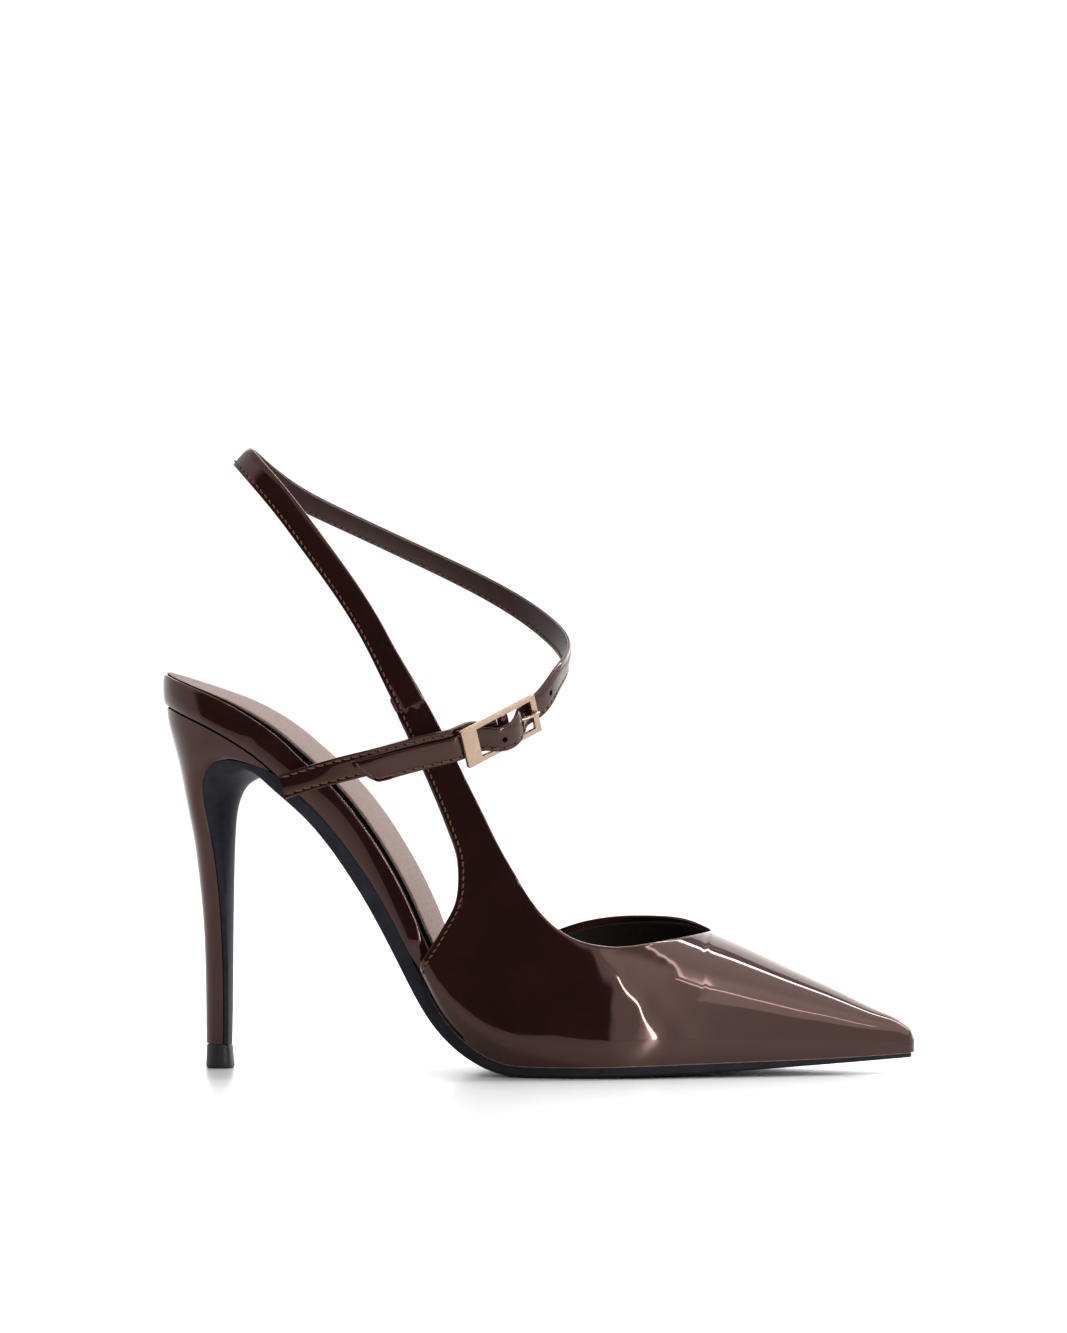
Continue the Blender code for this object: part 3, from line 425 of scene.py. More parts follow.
def smooth(mesh, sharp):
    mesh.shade_smooth()
    mesh.set_sharp_from_angle(angle=np.radians(sharp))


def piece(name, points, faces, finish, slot=None, nodes=()):
    """Smooth closed mesh from points in millimetres, riding on the shoe."""
    mesh = new_mesh(name, points, faces)
    smooth(mesh, SHARP)
    mesh.materials.append(finish)
    made = add_object(name, mesh)
    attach(made, "root")
    if nodes:
        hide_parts(*nodes)
    return made


def skin(loops, caps=(True, True)):
    """Points and faces through loops with the same number of points."""
    loops = np.asarray(loops, float)
    count, size = loops.shape[:2]
    faces = []
    for k in range(count - 1):
        for j in range(size):
            a, b = k * size + j, k * size + (j + 1) % size
            faces.append((a, b, b + size, a + size))
    if caps[0]:
        faces.append(tuple(range(size)))
    if caps[1]:
        faces.append(tuple(range((count - 1) * size, count * size)))
    return loops.reshape(-1, 3), faces


def joined_skins(groups, caps=(True, True)):
    """Points and faces of several skins in one mesh."""
    points, faces = [], []
    for loops in groups:
        new, made = skin(loops, caps)
        faces += [tuple(i + len(points) for i in face) for face in made]
        points += list(new)
    return points, faces


# Footbed and sock

def shell_inset(x, z, side):
    """How far the footbed's side is drawn in to pass inside the upper."""
    if side < 0:
        edge = np.interp(z, *np.transpose(TAB_BACK_LOW)[::-1])
    else:
        edge = INNER_BACK_X
    inside = ramp((x - edge + RUN_IN) / RUN_LENGTH)
    return inside * (WALL + GAP + TOE_CLEAR * ramp((x - TOE_CLEAR_X) / TOE_CLEAR_LENGTH))


def board_point(x, side, height, extra=0.0):
    """Points on the footbed's side at a height above the feather line; side 0 is the middle."""
    rise = upward(x) * np.asarray(height)[..., None]
    inset = shell_inset(x + rise[..., 0], feather(x) + rise[..., 1], side) + extra
    at, width = drawn_in(x, inset)
    return np.stack((at + rise[..., 0], middle(at) + side * width, feather(at) + LIFT + rise[..., 1]), -1)


def both_sides(x, rows):
    """Lines along the footbed's outer side, then its inner side in reverse, from heights and insets."""
    outer, inner = ([board_point(x, side, height, inset) for height, inset in rows] for side in (-1, 1))
    return outer, inner[::-1]


ALONG = np.array(heel_end(40) + list(np.arange(-84.0, 112.0, 1.5)) + toe_end(8))     # stations of the footbed
# Where the wrap stops below the board's top, and the sock's black edge, partly painted shade of the gap,
# stands above it: x, drop, edge
SOCK_EDGE = (
    (-114.2, 0.5, -0.1), (-99.0, 0.5, -0.1), (-90.0, 0.6, 0.1), (-80.0, 0.8, 0.35), (-74.0, 1.1, 0.4),
    (-50.0, 1.2, 0.0), (114.4, 1.2, 0.0),
)
# Wrap's section, as shares of its height and insets, and the inset of its rim's foot
WRAP = (
    (0.0, 0.55), (0.06, 0.3), (0.18, 0.12), (0.35, 0.02), (0.5, 0.0), (0.65, 0.02), (0.8, 0.1), (0.9, 0.22),
    (0.96, 0.36), (0.99, 0.5), (1.0, 0.66), (0.99, 0.84), (0.96, 0.98),
)
RIM_INSET = 1.1
BOARD_SUNK, BOARD_ROUND = 0.6, 0.2           # the black board, partly painted shade of the gap, starts below the wrap's top, and eases off
BOARD_INSETS = (1.3, 1.15, 1.35)
SOCK_THIN_X, SOCK_FULL_X = -106.0, -86.0     # the sock thins out to the back of the heel between these
SOCK_THICK, SOCK_CROWN = (0.3, 0.6), (0.2, 0.3)      # there, and how much more where it is full
SOCK_INSET, SOCK_SUNK = 1.3, 0.1
SOCK_ROLL = ((0.0, 0.05), (0.45, 0.0), (0.75, 0.16), (0.92, 0.42), (1.0, 0.8))       # shares and insets


def footbed():
    """Board wrapped in patent: a full side, a rounded top edge and a low rim round the sock."""
    thick = board_thick(ALONG) - straight(ALONG, SOCK_EDGE, 1)
    rows = [(share * thick, inset) for share, inset in WRAP] + [(thick - straight(ALONG, RIM, 1), RIM_INSET)]
    outer, inner = both_sides(ALONG, rows)
    piece("footbed_wrap", *skin(np.stack(outer + inner, 1), (False, False)), patent, "patent", ["footbed"])


def sock_board_and_shade():
    """Thin near-black board under the sock, which shows as a dark line inside the patent rim: partly a dark
    board edge, partly painted shade of the gap between rim and sock.
    """
    top = board_thick(ALONG) + straight(ALONG, SOCK_EDGE, 2)
    low = board_thick(ALONG) - straight(ALONG, SOCK_EDGE, 1) - BOARD_SUNK
    outer, inner = both_sides(ALONG, list(zip((low, top - BOARD_ROUND, top), BOARD_INSETS)))
    piece("sock_edge_and_shade", *skin(np.stack(outer + inner, 1), (False, False)), black_edge_and_painted_shade)


def sock():
    """Padded lining, crowned across, with a soft rolled edge."""
    full = ramp((ALONG - SOCK_THIN_X) / (SOCK_FULL_X - SOCK_THIN_X))
    thick, crown = (least + more * full for least, more in (SOCK_THICK, SOCK_CROWN))
    base = board_thick(ALONG) + straight(ALONG, SOCK_EDGE, 2) - SOCK_SUNK
    rows = [(base + share * thick, SOCK_INSET + inset) for share, inset in SOCK_ROLL]
    outer, inner = both_sides(ALONG, rows)
    across = []
    for share in np.linspace(0, 1, 15)[1:-1]:
        spot = outer[-1] + (inner[0] - outer[-1]) * share
        spot[:, 2] += crown * (1 - (2 * share - 1) ** 2)
        across.append(spot)
    under = [inner[-1] + (outer[0] - inner[-1]) * q for q in (0.25, 0.5, 0.75)]
    loops = np.stack(outer + across + inner + under, 1)
    made = piece("sock_pad", *skin(loops, (False, False)), sock_leather, "sock_lining", ["sock"])


# Outsole, heel and heel tip

ACROSS = 9               # points across the outsole
SOLE_EDGE = (0.35, 0.72)     # points down its edge, as shares of its thickness
EASE_IN, EASE_UP = 0.12, 0.03    # its lower corner is eased by these shares of a step in and of its thickness
HEEL_LEVELS = np.arange(0, len(BREAST) - 0.9, 0.5)
SEAM_INSET, SEAM_LOW, SEAM_HIGH = 1.5, -1.2, 0.7     # painted shade: near-black strip in the gap between the heel and the footbed
# Top piece: z, back x, front x, half width
TIP_LEVELS = (
    (0.0, -100.9, -93.0, 4.4), (0.25, -101.15, -92.75, 4.65), (0.8, -101.3, -92.6, 4.8),
    (3.5, -101.15, -92.9, 4.55), (6.95, -101.05, -93.2, 4.35), (7.25, -100.8, -93.5, 4.1),
)


def tread(x):
    return TOE_SPRING * np.maximum(0.0, (x - FLAT_END) / (TOE_X - FLAT_END)) ** SPRING_POWER


def sole_loop(top, low):
    """Loop across the outsole from its top and tread rows, with eased edges."""
    def edge(end, inner):
        down = [top[end] + (low[end] - top[end]) * q for q in SOLE_EDGE]
        return down + [low[end] + (low[inner] - low[end]) * EASE_IN + (top[end] - low[end]) * EASE_UP]

    return [*top, *edge(-1, -2), *low[-2:0:-1], *edge(0, 1)[::-1]]


def sole_section(x):
    """Rows of points across the outsole's top and its tread at one station."""
    at, width = drawn_in(x, SOLE_INSET - TOE_EASE * ramp((x - TOE_PULL_X) / (TOE_X - TOE_PULL_X)))
    across = np.linspace(-1, 1, ACROSS)
    top = np.array([(at, middle(at) + share * width, feather(at) - LIFT) for share in across])
    low = top.copy()
    if at >= FLAT_START:
        low[:, 2] = tread(at)
    else:
        rise = upward(at) * sole_thick(at)
        low[:, 0] = at - rise[0]
        low[:, 2] = max(0.0, feather(at) - rise[1])
    return top, low


breast_rows = spline(range(len(BREAST)), BREAST)


def breast_section(level, depth):
    """Points across the heel's front at one level, set back into the heel by depth."""
    before, after = breast_rows(max(level - 0.5, 0)), breast_rows(min(level + 0.5, len(BREAST) - 1))
    run = unit((after - before)[:2])
    back = np.array((run[1], -run[0])) * depth
    cx, cz, ex, ez, width = breast_rows(level)
    across = np.linspace(-1, 1, ACROSS)
    x = cx + (ex - cx) * across ** 2 + back[0]
    z = np.maximum(cz + (ez - cz) * across ** 2 + back[1], BREAST[-1][1])
    return np.stack((x, across * width, z), -1)


def flap_depth(level):
    return FLAP_THICK[0] + (FLAP_THICK[1] - FLAP_THICK[0]) * level / (len(BREAST) - 1)


def outsole():
    """Thin sole from the toe tip back under the arch and down the front of the heel."""
    stations = toe_end(7)[::-1] + list(np.arange(109.0, 26.0, -7.5)) + [FLAT_END, 16.0, 8.0, FLAT_START]
    stations += list(np.arange(-4.0, -77.0, -4.5))
    loops = [sole_loop(*sole_section(x)) for x in stations]
    for level in HEEL_LEVELS:
        loops.append(sole_loop(breast_section(level, flap_depth(level)), breast_section(level, 0.0)))
    fine = curve(loops)(np.linspace(0, 1, 260))
    fine[:, :, 2] = np.maximum(fine[:, :, 2], 0.0)
    piece("outsole_body", *skin(fine, (False, True)), sole_leather, "sole", ["outsole"])


def heel():
    """Stiletto covered in patent, from the heel seat to a slim column."""
    turn = np.linspace(0, np.pi, 43)[1:-1]
    seat = HEEL_TOP_FRONT
    front = np.stack((np.full(ACROSS, seat), np.linspace(-1, 1, ACROSS) * (half(seat) - HEEL_INSET),
                      np.full(ACROSS, feather(seat) - HEEL_DROP)), -1)
    at, width = drawn_in(seat + (HEEL_X - seat) * np.sin(turn), HEEL_INSET)
    back = np.stack((at, np.sign(np.round(np.cos(turn), 6)) * width, feather(at) - HEEL_DROP), -1)
    loops = [np.vstack((front, back))]
    back_rows = spline(range(len(HEEL_BACK)), HEEL_BACK)
    for level in HEEL_LEVELS:
        front = breast_section(level, flap_depth(level) + GAP)
        ex, width, ez = front[-1]
        back_x, back_z, swelling = back_rows(level)
        share = np.sin(turn)
        y = width * np.cos(turn) + swelling * np.sin(2 * turn)
        round_back = np.stack((ex + (back_x - ex) * share, y, ez + (back_z - ez) * share), -1)
        loops.append(np.vstack((front, round_back)))
    fine = curve(loops)(np.linspace(0, 1, 110))
    points, faces = skin(fine, (False, True))
    size = len(loops[0])
    faces.append((*range(ACROSS), ACROSS, size - 1))
    for j in range(len(turn) // 2):
        a, b = ACROSS + j, size - 1 - j
        faces.append((a, a + 1, b - 1, b) if a + 1 < b - 1 else (a, a + 1, b))
    piece("heel_cover", points, faces, patent, "patent", ["heel"])


def heel_seam_shade():
    """Near-black strip in the seam's gap between the heel and the footbed: painted shade of the seam."""
    x = np.array(heel_end(40) + list(np.arange(-84.0, HEEL_TOP_FRONT, 1.0)))
    rows = [outline(x, SEAM_INSET, side, rise)
            for side, rise in ((-1, SEAM_LOW), (-1, SEAM_HIGH), (1, SEAM_HIGH), (1, SEAM_LOW))]
    piece("heel_seam_shade", *skin(np.stack(rows, 1), (False, True)), black_edge_and_painted_shade)


def heel_tip():
    """Top piece under the heel, slightly wider at the floor, with eased edges."""
    turn = ring(48)
    loops = []
    for z, back_x, front_x, width in TIP_LEVELS:
        along = np.where(np.cos(turn) > 0, np.sqrt(np.abs(np.cos(turn))), np.cos(turn))
        x = (back_x + front_x) / 2 + (front_x - back_x) / 2 * along
        loops.append(np.stack((x, width * np.sin(turn), np.full(len(turn), z)), -1))
    piece("top_piece", *skin(loops), rubber, "top_piece", ["heel_tip"])


# Upper

def last_point(x, theta, side, depth=0.0):
    """Points on the upper; theta runs from the feather line (0) to the crest, depth goes into the wall."""
    at, width = drawn_in(x, depth)
    base = feather(at) + LIFT
    tall = crest(at) - base - depth
    power = 2 / SECTION_POWER
    up = tall * np.maximum(np.sin(theta), 0.0) ** power
    fuller = np.where(side < 0, swell(at), np.minimum(swell(at), INNER_SWELL))
    fuller = fuller * (1 - (1 - np.minimum(up / SWELL_HEIGHT, 1.0)) ** 2)
    fuller = fuller + BELLY * (1 - (1 - np.minimum(up / BELLY_HEIGHT, 1.0)) ** 2)
    behind = ramp((at - LEAN_START_X) / (LEAN_END_X - LEAN_START_X)) * (side < 0)
    fuller = fuller - LEAN * behind * np.clip((up - LEAN_FROM) / (LEAN_TO - LEAN_FROM), 0.0, 1.0)
    width = width + fuller * ramp(half(x) / FULL_HALF_WIDTH)
    return np.stack((at, middle(at) + side * width * np.maximum(np.cos(theta), 0.0) ** power, base + up), -1)


def angle_at(x, z):
    """Section angle of the upper at height z."""
    base = feather(x) + LIFT
    share = np.clip((z - base) / (crest(x) - base), 0.0, 1.0)
    return np.arcsin(share ** (SECTION_POWER / 2))


class Patch:
    """Collects grid points of the upper, given as station, section angle and side, and its faces."""

    def __init__(self):
        self.spots, self.faces, self.index = [], [], {}

    def spot(self, x, theta, side):
        key = (round(float(x), 5), round(float(theta), 5), side if theta < np.pi / 2 - 1e-6 else 0)
        if key not in self.index:
            self.index[key] = len(self.spots)
            self.spots.append((float(x), float(theta), side))
        return self.index[key]

    def grid(self, rows):
        ids = [[self.spot(*p) for p in row] for row in rows]
        for a, b in zip(ids, ids[1:]):
            for j in range(len(a) - 1):
                self.faces.append((a[j], a[j + 1], b[j + 1], b[j]))

    def place(self, depth):
        x, theta, side = np.array(self.spots).T
        return last_point(x, theta, side, depth)


LEAST_TALL = 4.0         # a column of the side counts as at least this tall
TRIM_IN, TRIM_OUT = 0.05, 4      # a trim comes in over this share of the columns, and goes over this many
BOW_POWER = 2.5          # how fast the back edge's bow fades out forwards


def side_rows(top, bottom, back, side, rows, trim, free):
    """Grid of one side behind the throat; trim lowers its top edge, in millimetres, up to the column free."""
    count = len(top)
    back_line = curve(back)
    levels = np.linspace(0, 1, rows + 1)
    end = np.array([(x, angle_at(x, z)) for x, z in (back_line(v) for v in levels)])
    end[0, 1] = 0.0
    grid = []
    for v, edge in zip(levels, end):
        bow = edge - (end[0] + (end[-1] - end[0]) * v)
        row = []
        for i in range(count):
            low = np.array((bottom[i], 0.0))
            high = np.array((top[i][0], angle_at(top[i][0], top[i][1])))
            tall = max(np.hypot(top[i][0] - bottom[i], top[i][1] - feather(bottom[i])), LEAST_TALL)
            share = v * (1 - trim / tall * ramp(i / (TRIM_IN * count)) * ramp((free - i) / TRIM_OUT))
            spot = low + (high - low) * share + bow * (i / (count - 1)) ** BOW_POWER
            row.append((spot[0], max(spot[1], 0.0), side))
        grid.append(row)
    return grid


def upper_patch(trim=0.0):
    """Vamp, low inner side and tall outer tab as one grid, open at the throat and underneath."""
    rows, neck, along, inner = 38, 22, 60, 70        # faces up a side, across the tab and along the toplines
    patch = Patch()
    angles = np.linspace(0, np.pi / 2, rows + 1)
    stations = list(np.linspace(APEX_X, 110.0, 58)) + toe_end(10)
    for side in (-1, 1):
        patch.grid([[(x, a, side) for x in stations] for a in angles])
    line = curve(OUTER_TOPLINE)
    top = [tuple(line(q)) for q in np.linspace(0, 1, along)]
    front, rear = np.array(OUTER_TOPLINE[-1]), np.array(TAB_BACK[0])
    top += [tuple(front + (rear - front) * k / neck) for k in range(1, neck + 1)]
    bottom = list(np.linspace(APEX_X, OUTER_NECK_X, along))
    bottom += list(np.linspace(OUTER_NECK_X, TAB_BACK_LOW[0][0], neck + 1)[1:])
    lower = side_rows(top, bottom, TAB_BACK_LOW, -1, rows, trim, along)
    if not trim:
        lower[-1] = [(x, angle_at(x, z), -1) for x, z in top]
    patch.grid(lower)
    front_line, back_line = curve(TAB_FRONT), curve(TAB_BACK)
    tab = []
    for q in np.linspace(0, TAB_TOP, 62):
        a, b = front_line(q), back_line(q)
        pull = trim / np.linalg.norm(b - a)
        shares = pull + (1 - 2 * pull) * np.arange(neck + 1) / neck
        tab.append([(x, angle_at(x, z), -1) for x, z in (a + (b - a) * s for s in shares)])
    if not trim:
        tab[0] = lower[-1][-neck - 1:]
    patch.grid(tab)
    line = curve(INNER_TOPLINE)
    top = [tuple(line(q)) for q in np.linspace(0, 1, inner)]
    bottom = list(np.linspace(APEX_X, INNER_BACK_X, inner))
    ends = ((INNER_BACK_X, feather(INNER_BACK_X) + LIFT), INNER_TOPLINE[-1])
    patch.grid(side_rows(top, bottom, ends, 1, rows, trim, 2 * inner))
    return patch


# Creases and soft waves of the vamp, as ridges (+) and troughs (-) along lines seen from the side:
# x and z of both ends, half width, height
WAVES = (
    (23.0, 38.0, 41.0, 13.0, 3.6, 0.18), (29.0, 38.0, 47.0, 12.0, 5.0, -0.06),
    (38.0, 40.0, 45.0, 32.0, 4.0, 0.05), (46.0, 31.0, 80.0, 17.5, 5.0, 0.03),
    (14.0, 30.0, 30.0, 12.0, 5.0, -0.10), (-6.0, 40.0, 10.0, 18.0, 6.0, 0.08),
    (60.0, 15.0, 104.0, 10.0, 3.0, -0.05), (64.0, 32.0, 98.0, 17.0, 4.0, -0.03),
    (-12.0, 56.0, -26.0, 44.0, 5.0, -0.08), (-40.0, 108.0, -30.5, 110.8, 1.3, -0.35),
    (-31.2, 106.6, -28.6, 101.2, 2.4, 0.10),
)
WIGGLE, WIGGLE_TURNS = 0.7, 17.0     # the lines wander by this much, this fast
LINING_TRIM, LINING_GAP = 1.8, 0.02  # the lining stops short of the edges, and just clears the patent


def wave_height(points):
    """Rise of the waves at points on the upper."""
    spots = points[:, (0, 2)]
    rise = np.zeros(len(points))
    for x0, z0, x1, z1, width, height in WAVES:
        start, end = np.array((x0, z0)), np.array((x1, z1))
        way = end - start
        share = np.clip((spots - start) @ way / (way @ way), 0, 1)
        wander = WIGGLE * np.sin(share * WIGGLE_TURNS + x0)
        wiggle = wander[:, None] * np.array((-way[1], way[0])) / np.linalg.norm(way)
        far = np.linalg.norm(spots - start - share[:, None] * way - wiggle, axis=1)
        rise += height * np.exp(-(far / width) ** 2)
    return rise


def normals_of(points, faces):
    total = np.zeros_like(points)
    quads = np.array(faces)
    square = np.cross(points[quads[:, 2]] - points[quads[:, 0]], points[quads[:, 3]] - points[quads[:, 1]])
    for k in range(4):
        np.add.at(total, quads[:, k], square)
    return total / np.maximum(np.linalg.norm(total, axis=1, keepdims=True), 1e-12)


def thick_skin(patch, outside, inside, round_edge):
    """Closed wall between two surfaces of a patch, with its free edges rolled where round_edge allows."""
    used, near = {}, {}
    for face in patch.faces:
        for a, b in zip(face, face[1:] + face[:1]):
            used.setdefault(frozenset((a, b)), []).append(face)
    tip = {i for i, (x, t, s) in enumerate(patch.spots) if x > TOE_X - 1e-3}
    free = [pair for pair, owners in used.items() if len(owners) == 1 and not pair <= tip and len(pair) == 2]
    rim_points = {i for pair in free for i in pair}
    for pair in used:
        if len(pair) == 2:
            a, b = tuple(pair)
            for i, j in ((a, b), (b, a)):
                if i in rim_points and j not in rim_points:
                    near.setdefault(i, []).append(j)
    count = len(patch.spots)
    points = [*outside, *inside]
    faces = list(patch.faces) + [tuple(i + count for i in f) for f in patch.faces]
    turns = np.linspace(0, np.pi, 7)[1:-1]
    roll = {}
    for i in rim_points:
        arm = (outside[i] - inside[i]) / 2
        way = np.zeros(3)
        if round_edge and patch.spots[i][1] > 1e-3 and i in near:
            way = outside[i] - np.mean([outside[j] for j in near[i]], axis=0)
            way = way - arm * (way @ arm) / max(arm @ arm, 1e-9)
            way = way / max(np.linalg.norm(way), 1e-9) * np.linalg.norm(arm)
        ids = [i]
        for t in turns:
            ids.append(len(points))
            points.append((outside[i] + inside[i]) / 2 + arm * np.cos(t) + way * np.sin(t))
        roll[i] = ids + [i + count]
    for pair in free:
        a, b = tuple(pair)
        for k in range(len(roll[a]) - 1):
            faces.append((roll[a][k], roll[b][k], roll[b][k + 1], roll[a][k + 1]))
    return points, faces


def upper():
    """Patent wall with its waves and rolled edges, and the lining inside it."""
    patch = upper_patch()
    outside = patch.place(0.0)
    out = normals_of(outside, patch.faces)
    centre = np.stack((outside[:, 0], middle(outside[:, 0]), outside[:, 2] * 0.5), -1)
    out *= np.sign(np.sum(out * (outside - centre), axis=1))[:, None]
    outside = outside + out * wave_height(outside)[:, None]
    wall = thick_skin(patch, outside, patch.place(PATENT), True)
    piece("upper_patent", *wall, patent, "patent", ["upper"])
    low = upper_patch(LINING_TRIM)
    wall = thick_skin(low, low.place(PATENT + LINING_GAP), low.place(WALL), False)
    piece("upper_lining", *wall, black_lining)


# Straps, their stitches and the buckle

buckle_along = unit(BUCKLE_ALONG)
buckle_out = unit(BUCKLE_OUT - buckle_along * np.dot(BUCKLE_OUT, buckle_along))
buckle_up = np.cross(buckle_out, buckle_along)


def in_buckle(along, up=0.0, out=0.0):
    return BUCKLE_AT + buckle_along * along + buckle_up * up + buckle_out * out


STITCH_PITCH, LONG_PITCH, STITCH_GAP = 2.15, 2.9, 0.5
STITCH_THICK, STITCH_FLAT, STITCH_SLANT = 0.24, 0.75, 0.16
# One stitch: place along it as a share of its length, share of its thickness, height off the leather
STITCH = (
    (-0.5, 0.15, -0.12), (-0.46, 0.7, -0.05), (-0.25, 1.0, 0.02), (0.0, 1.05, 0.05), (0.25, 1.0, 0.02),
    (0.46, 0.7, -0.05), (0.5, 0.15, -0.12),
)
# Needle holes: near-black discs just proud of the leather, painted shade of the holes
NEEDLE_RADIUS, NEEDLE_LOW, NEEDLE_HIGH = 0.26, -0.2, 0.035
END_PITCH = 0.75 * STITCH_PITCH      # of the stitches across the strap's free end
SEAM = STRAP_WIDTH / 2 - 1.15        # stitch row off the strap's middle
GROOVE, GROOVE_WIDTH = 0.13, 0.42    # the leather dips along it
LAYER, LAYER_GAP, LAYER_INSET = 0.62, 0.02, 0.1      # straps' lining: thickness, clearance, narrower a side
STRAP_CROWN = 0.12
TOP_ROUND, LOW_ROUND = 0.28, 0.12    # edges of a layer
ROLL, HEEL_ROLL, ROLL_WIDTH = 0.42, 0.15, 2.4        # one edge of a strap is turned down
ON_TOP = 0.02                        # stitches off a strap's face
PUNCH_REACH, SPARE_WAY = 4.0, (0.3, 0.2, 0.9)        # half a punch's length, and any way that isn't along it
STRAP_STEPS, HEEL_STRAP_STEPS = 560, 200
# Where the stitch rows start along a strap, and how far off its end they stop
ROW_START, FREE_ROW_START, BACK_ROW_START, HEEL_ROW_START = 1.2, 1.0, 3.0, 2.0
ROW_STOP, TIP_ROW, TIP_ROW_START, FOLD_STOP = 2.4, 1.5, 1.6, 12.0


class Strap:
    """Middle line of a strap with its run, width and outward directions, and the shape of its two ends."""

    def __init__(self, rows, count, outward=1.0, flare=0.0, slant=0.0):
        made = curve(rows)(np.linspace(0, 1, count))
        self.mid = made[:, :3]
        run = np.gradient(self.mid, axis=0)
        self.run = unit(run)
        wide = made[:, 3:]
        self.wide = unit(wide - self.run * np.sum(wide * self.run, axis=1, keepdims=True))
        self.out = np.cross(self.wide, self.run) * outward
        self.far = run_along(self.mid)
        self.flare, self.slant = flare, slant

    def at(self, far):
        """Middle, run, width and outward direction at distances along the strap."""
        return [between(far, self.far, part) for part in (self.mid, self.run, self.wide, self.out)]

    def place(self, far, across, height):
        """Points of sections at distances along the strap; it widens at its start and has a slanted end."""
        mid, run, wide, out = (part[:, None] for part in self.at(far))
        share = across / STRAP_WIDTH
        start = ramp(1 - far / FLARE_LENGTH)[:, None]
        end = ramp((far - self.far[-1] + SLANT_LENGTH) / SLANT_LENGTH)[:, None]
        side = across + self.flare * (share + 0.5) * start
        tip = TIP_ROUND if self.slant else 0.0
        back = (self.slant * (0.5 - share) + tip * np.abs(2 * share) ** 4) * end
        return mid + wide * side[..., None] + out * height[:, None] - run * back[..., None]

    def layer(self, low, high, width, grooves=(), crown=STRAP_CROWN, roll=0.0):
        """Loops of one layer of the strap between two heights off its middle; roll turns one edge down."""
        section = []
        for cx, cz, start in ((1, 1, 0), (-1, 1, 90), (-1, -1, 180), (1, -1, 270)):
            radius = min(TOP_ROUND if cz > 0 else LOW_ROUND, (high - low) / 2 - LAYER_GAP)
            for a in np.radians(np.linspace(start, start + 90, 5)):
                section.append((cx * (width / 2 - radius) + radius * np.cos(a),
                                (high - radius if cz > 0 else low + radius) + radius * np.sin(a)))
            if cz > 0 and cx > 0:
                for y in np.linspace(width / 2 - radius, -width / 2 + radius, 27)[1:-1]:
                    dip = sum(GROOVE * np.exp(-((y - g) / GROOVE_WIDTH) ** 2) for g in grooves)
                    section.append((y, high + crown * (1 - (2 * y / width) ** 2) - dip))
        section = np.array(section)
        turned = np.clip((section[:, 0] - width / 2 + ROLL_WIDTH) / ROLL_WIDTH, 0, 1) ** 2
        section[:, 1] -= roll * turned * (section[:, 1] > (low + high) / 2)
        return self.place(self.far, section[:, 0], section[:, 1])


def stitches(name, spots, runs, outs, pitch=STITCH_PITCH):
    """Row of stitches, each a short rounded bar on a slight slant, with a near-black disc at each end as
    painted shade of a needle hole.
    """
    turn = ring(6)
    bars, holes = [], []
    for spot, run, out in zip(spots, runs, outs):
        side = np.cross(run, out)
        leant = unit(run + side * STITCH_SLANT)
        beside = np.cross(leant, out)
        bar = []
        for place, size, rise in STITCH:
            centre, radius = spot + leant * place * (pitch - STITCH_GAP), size * STITCH_THICK
            bar.append([centre + out * (rise + radius * STITCH_FLAT * np.sin(t)) + beside * radius * np.cos(t)
                        for t in turn])
        bars.append(bar)
        hole = spot + run * (pitch / 2)
        holes.append([[hole + out * h + (run * np.cos(t) + side * np.sin(t)) * NEEDLE_RADIUS for t in turn]
                      for h in (NEEDLE_LOW, NEEDLE_HIGH)])
    # Painted shade: near-black discs for the needle holes
    piece(name + "_holes", *joined_skins(holes), black_edge_and_painted_shade)
    piece(name, *joined_skins(bars), thread)


def row_of(strap, offset, height, start, end, pitch=STITCH_PITCH):
    """Places for stitches along a strap, at an offset across it."""
    far = np.arange(start, end, pitch)
    spots = strap.place(far, np.array((offset,)), np.array((height,)))[:, 0]
    return spots, unit(np.gradient(spots, axis=0)), unit(strap.at(far)[3])


def row_across(strap, far, height, start, end):
    """Places for stitches across the strap's slanted end."""
    across = np.arange(start, end, END_PITCH)
    spots = strap.place(np.array((far,)), across, np.full(len(across), height))[0]
    outs = np.repeat(unit(strap.at(np.array((far,)))[3]), len(across), axis=0)
    return spots, unit(np.gradient(spots, axis=0)), outs


def punch(made, spots, outs, radius):
    """Cuts round holes through a piece and keeps the result as its own mesh."""
    pins = []
    for spot, out in zip(spots, outs):
        side = unit(np.cross(out, SPARE_WAY))
        other = np.cross(out, side)
        pins.append([[spot + out * h + (side * np.cos(t) + other * np.sin(t)) * radius for t in ring(24)]
                     for h in (-PUNCH_REACH, PUNCH_REACH)])
    tool = add_object("punch", new_mesh("punch", *joined_skins(pins)))
    cut = made.modifiers.new("holes", "BOOLEAN")
    cut.operation, cut.solver, cut.object = "DIFFERENCE", "EXACT", tool
    keep_modified(made)
    bpy.data.objects.remove(tool)


def keep_modified(made):
    """Replaces a piece's mesh by the result of its modifiers."""
    done = made.evaluated_get(bpy.context.evaluated_depsgraph_get())
    mesh = bpy.data.meshes.new_from_object(done)
    made.modifiers.clear()
    made.data = mesh
    smooth(mesh, SHARP_CUT)


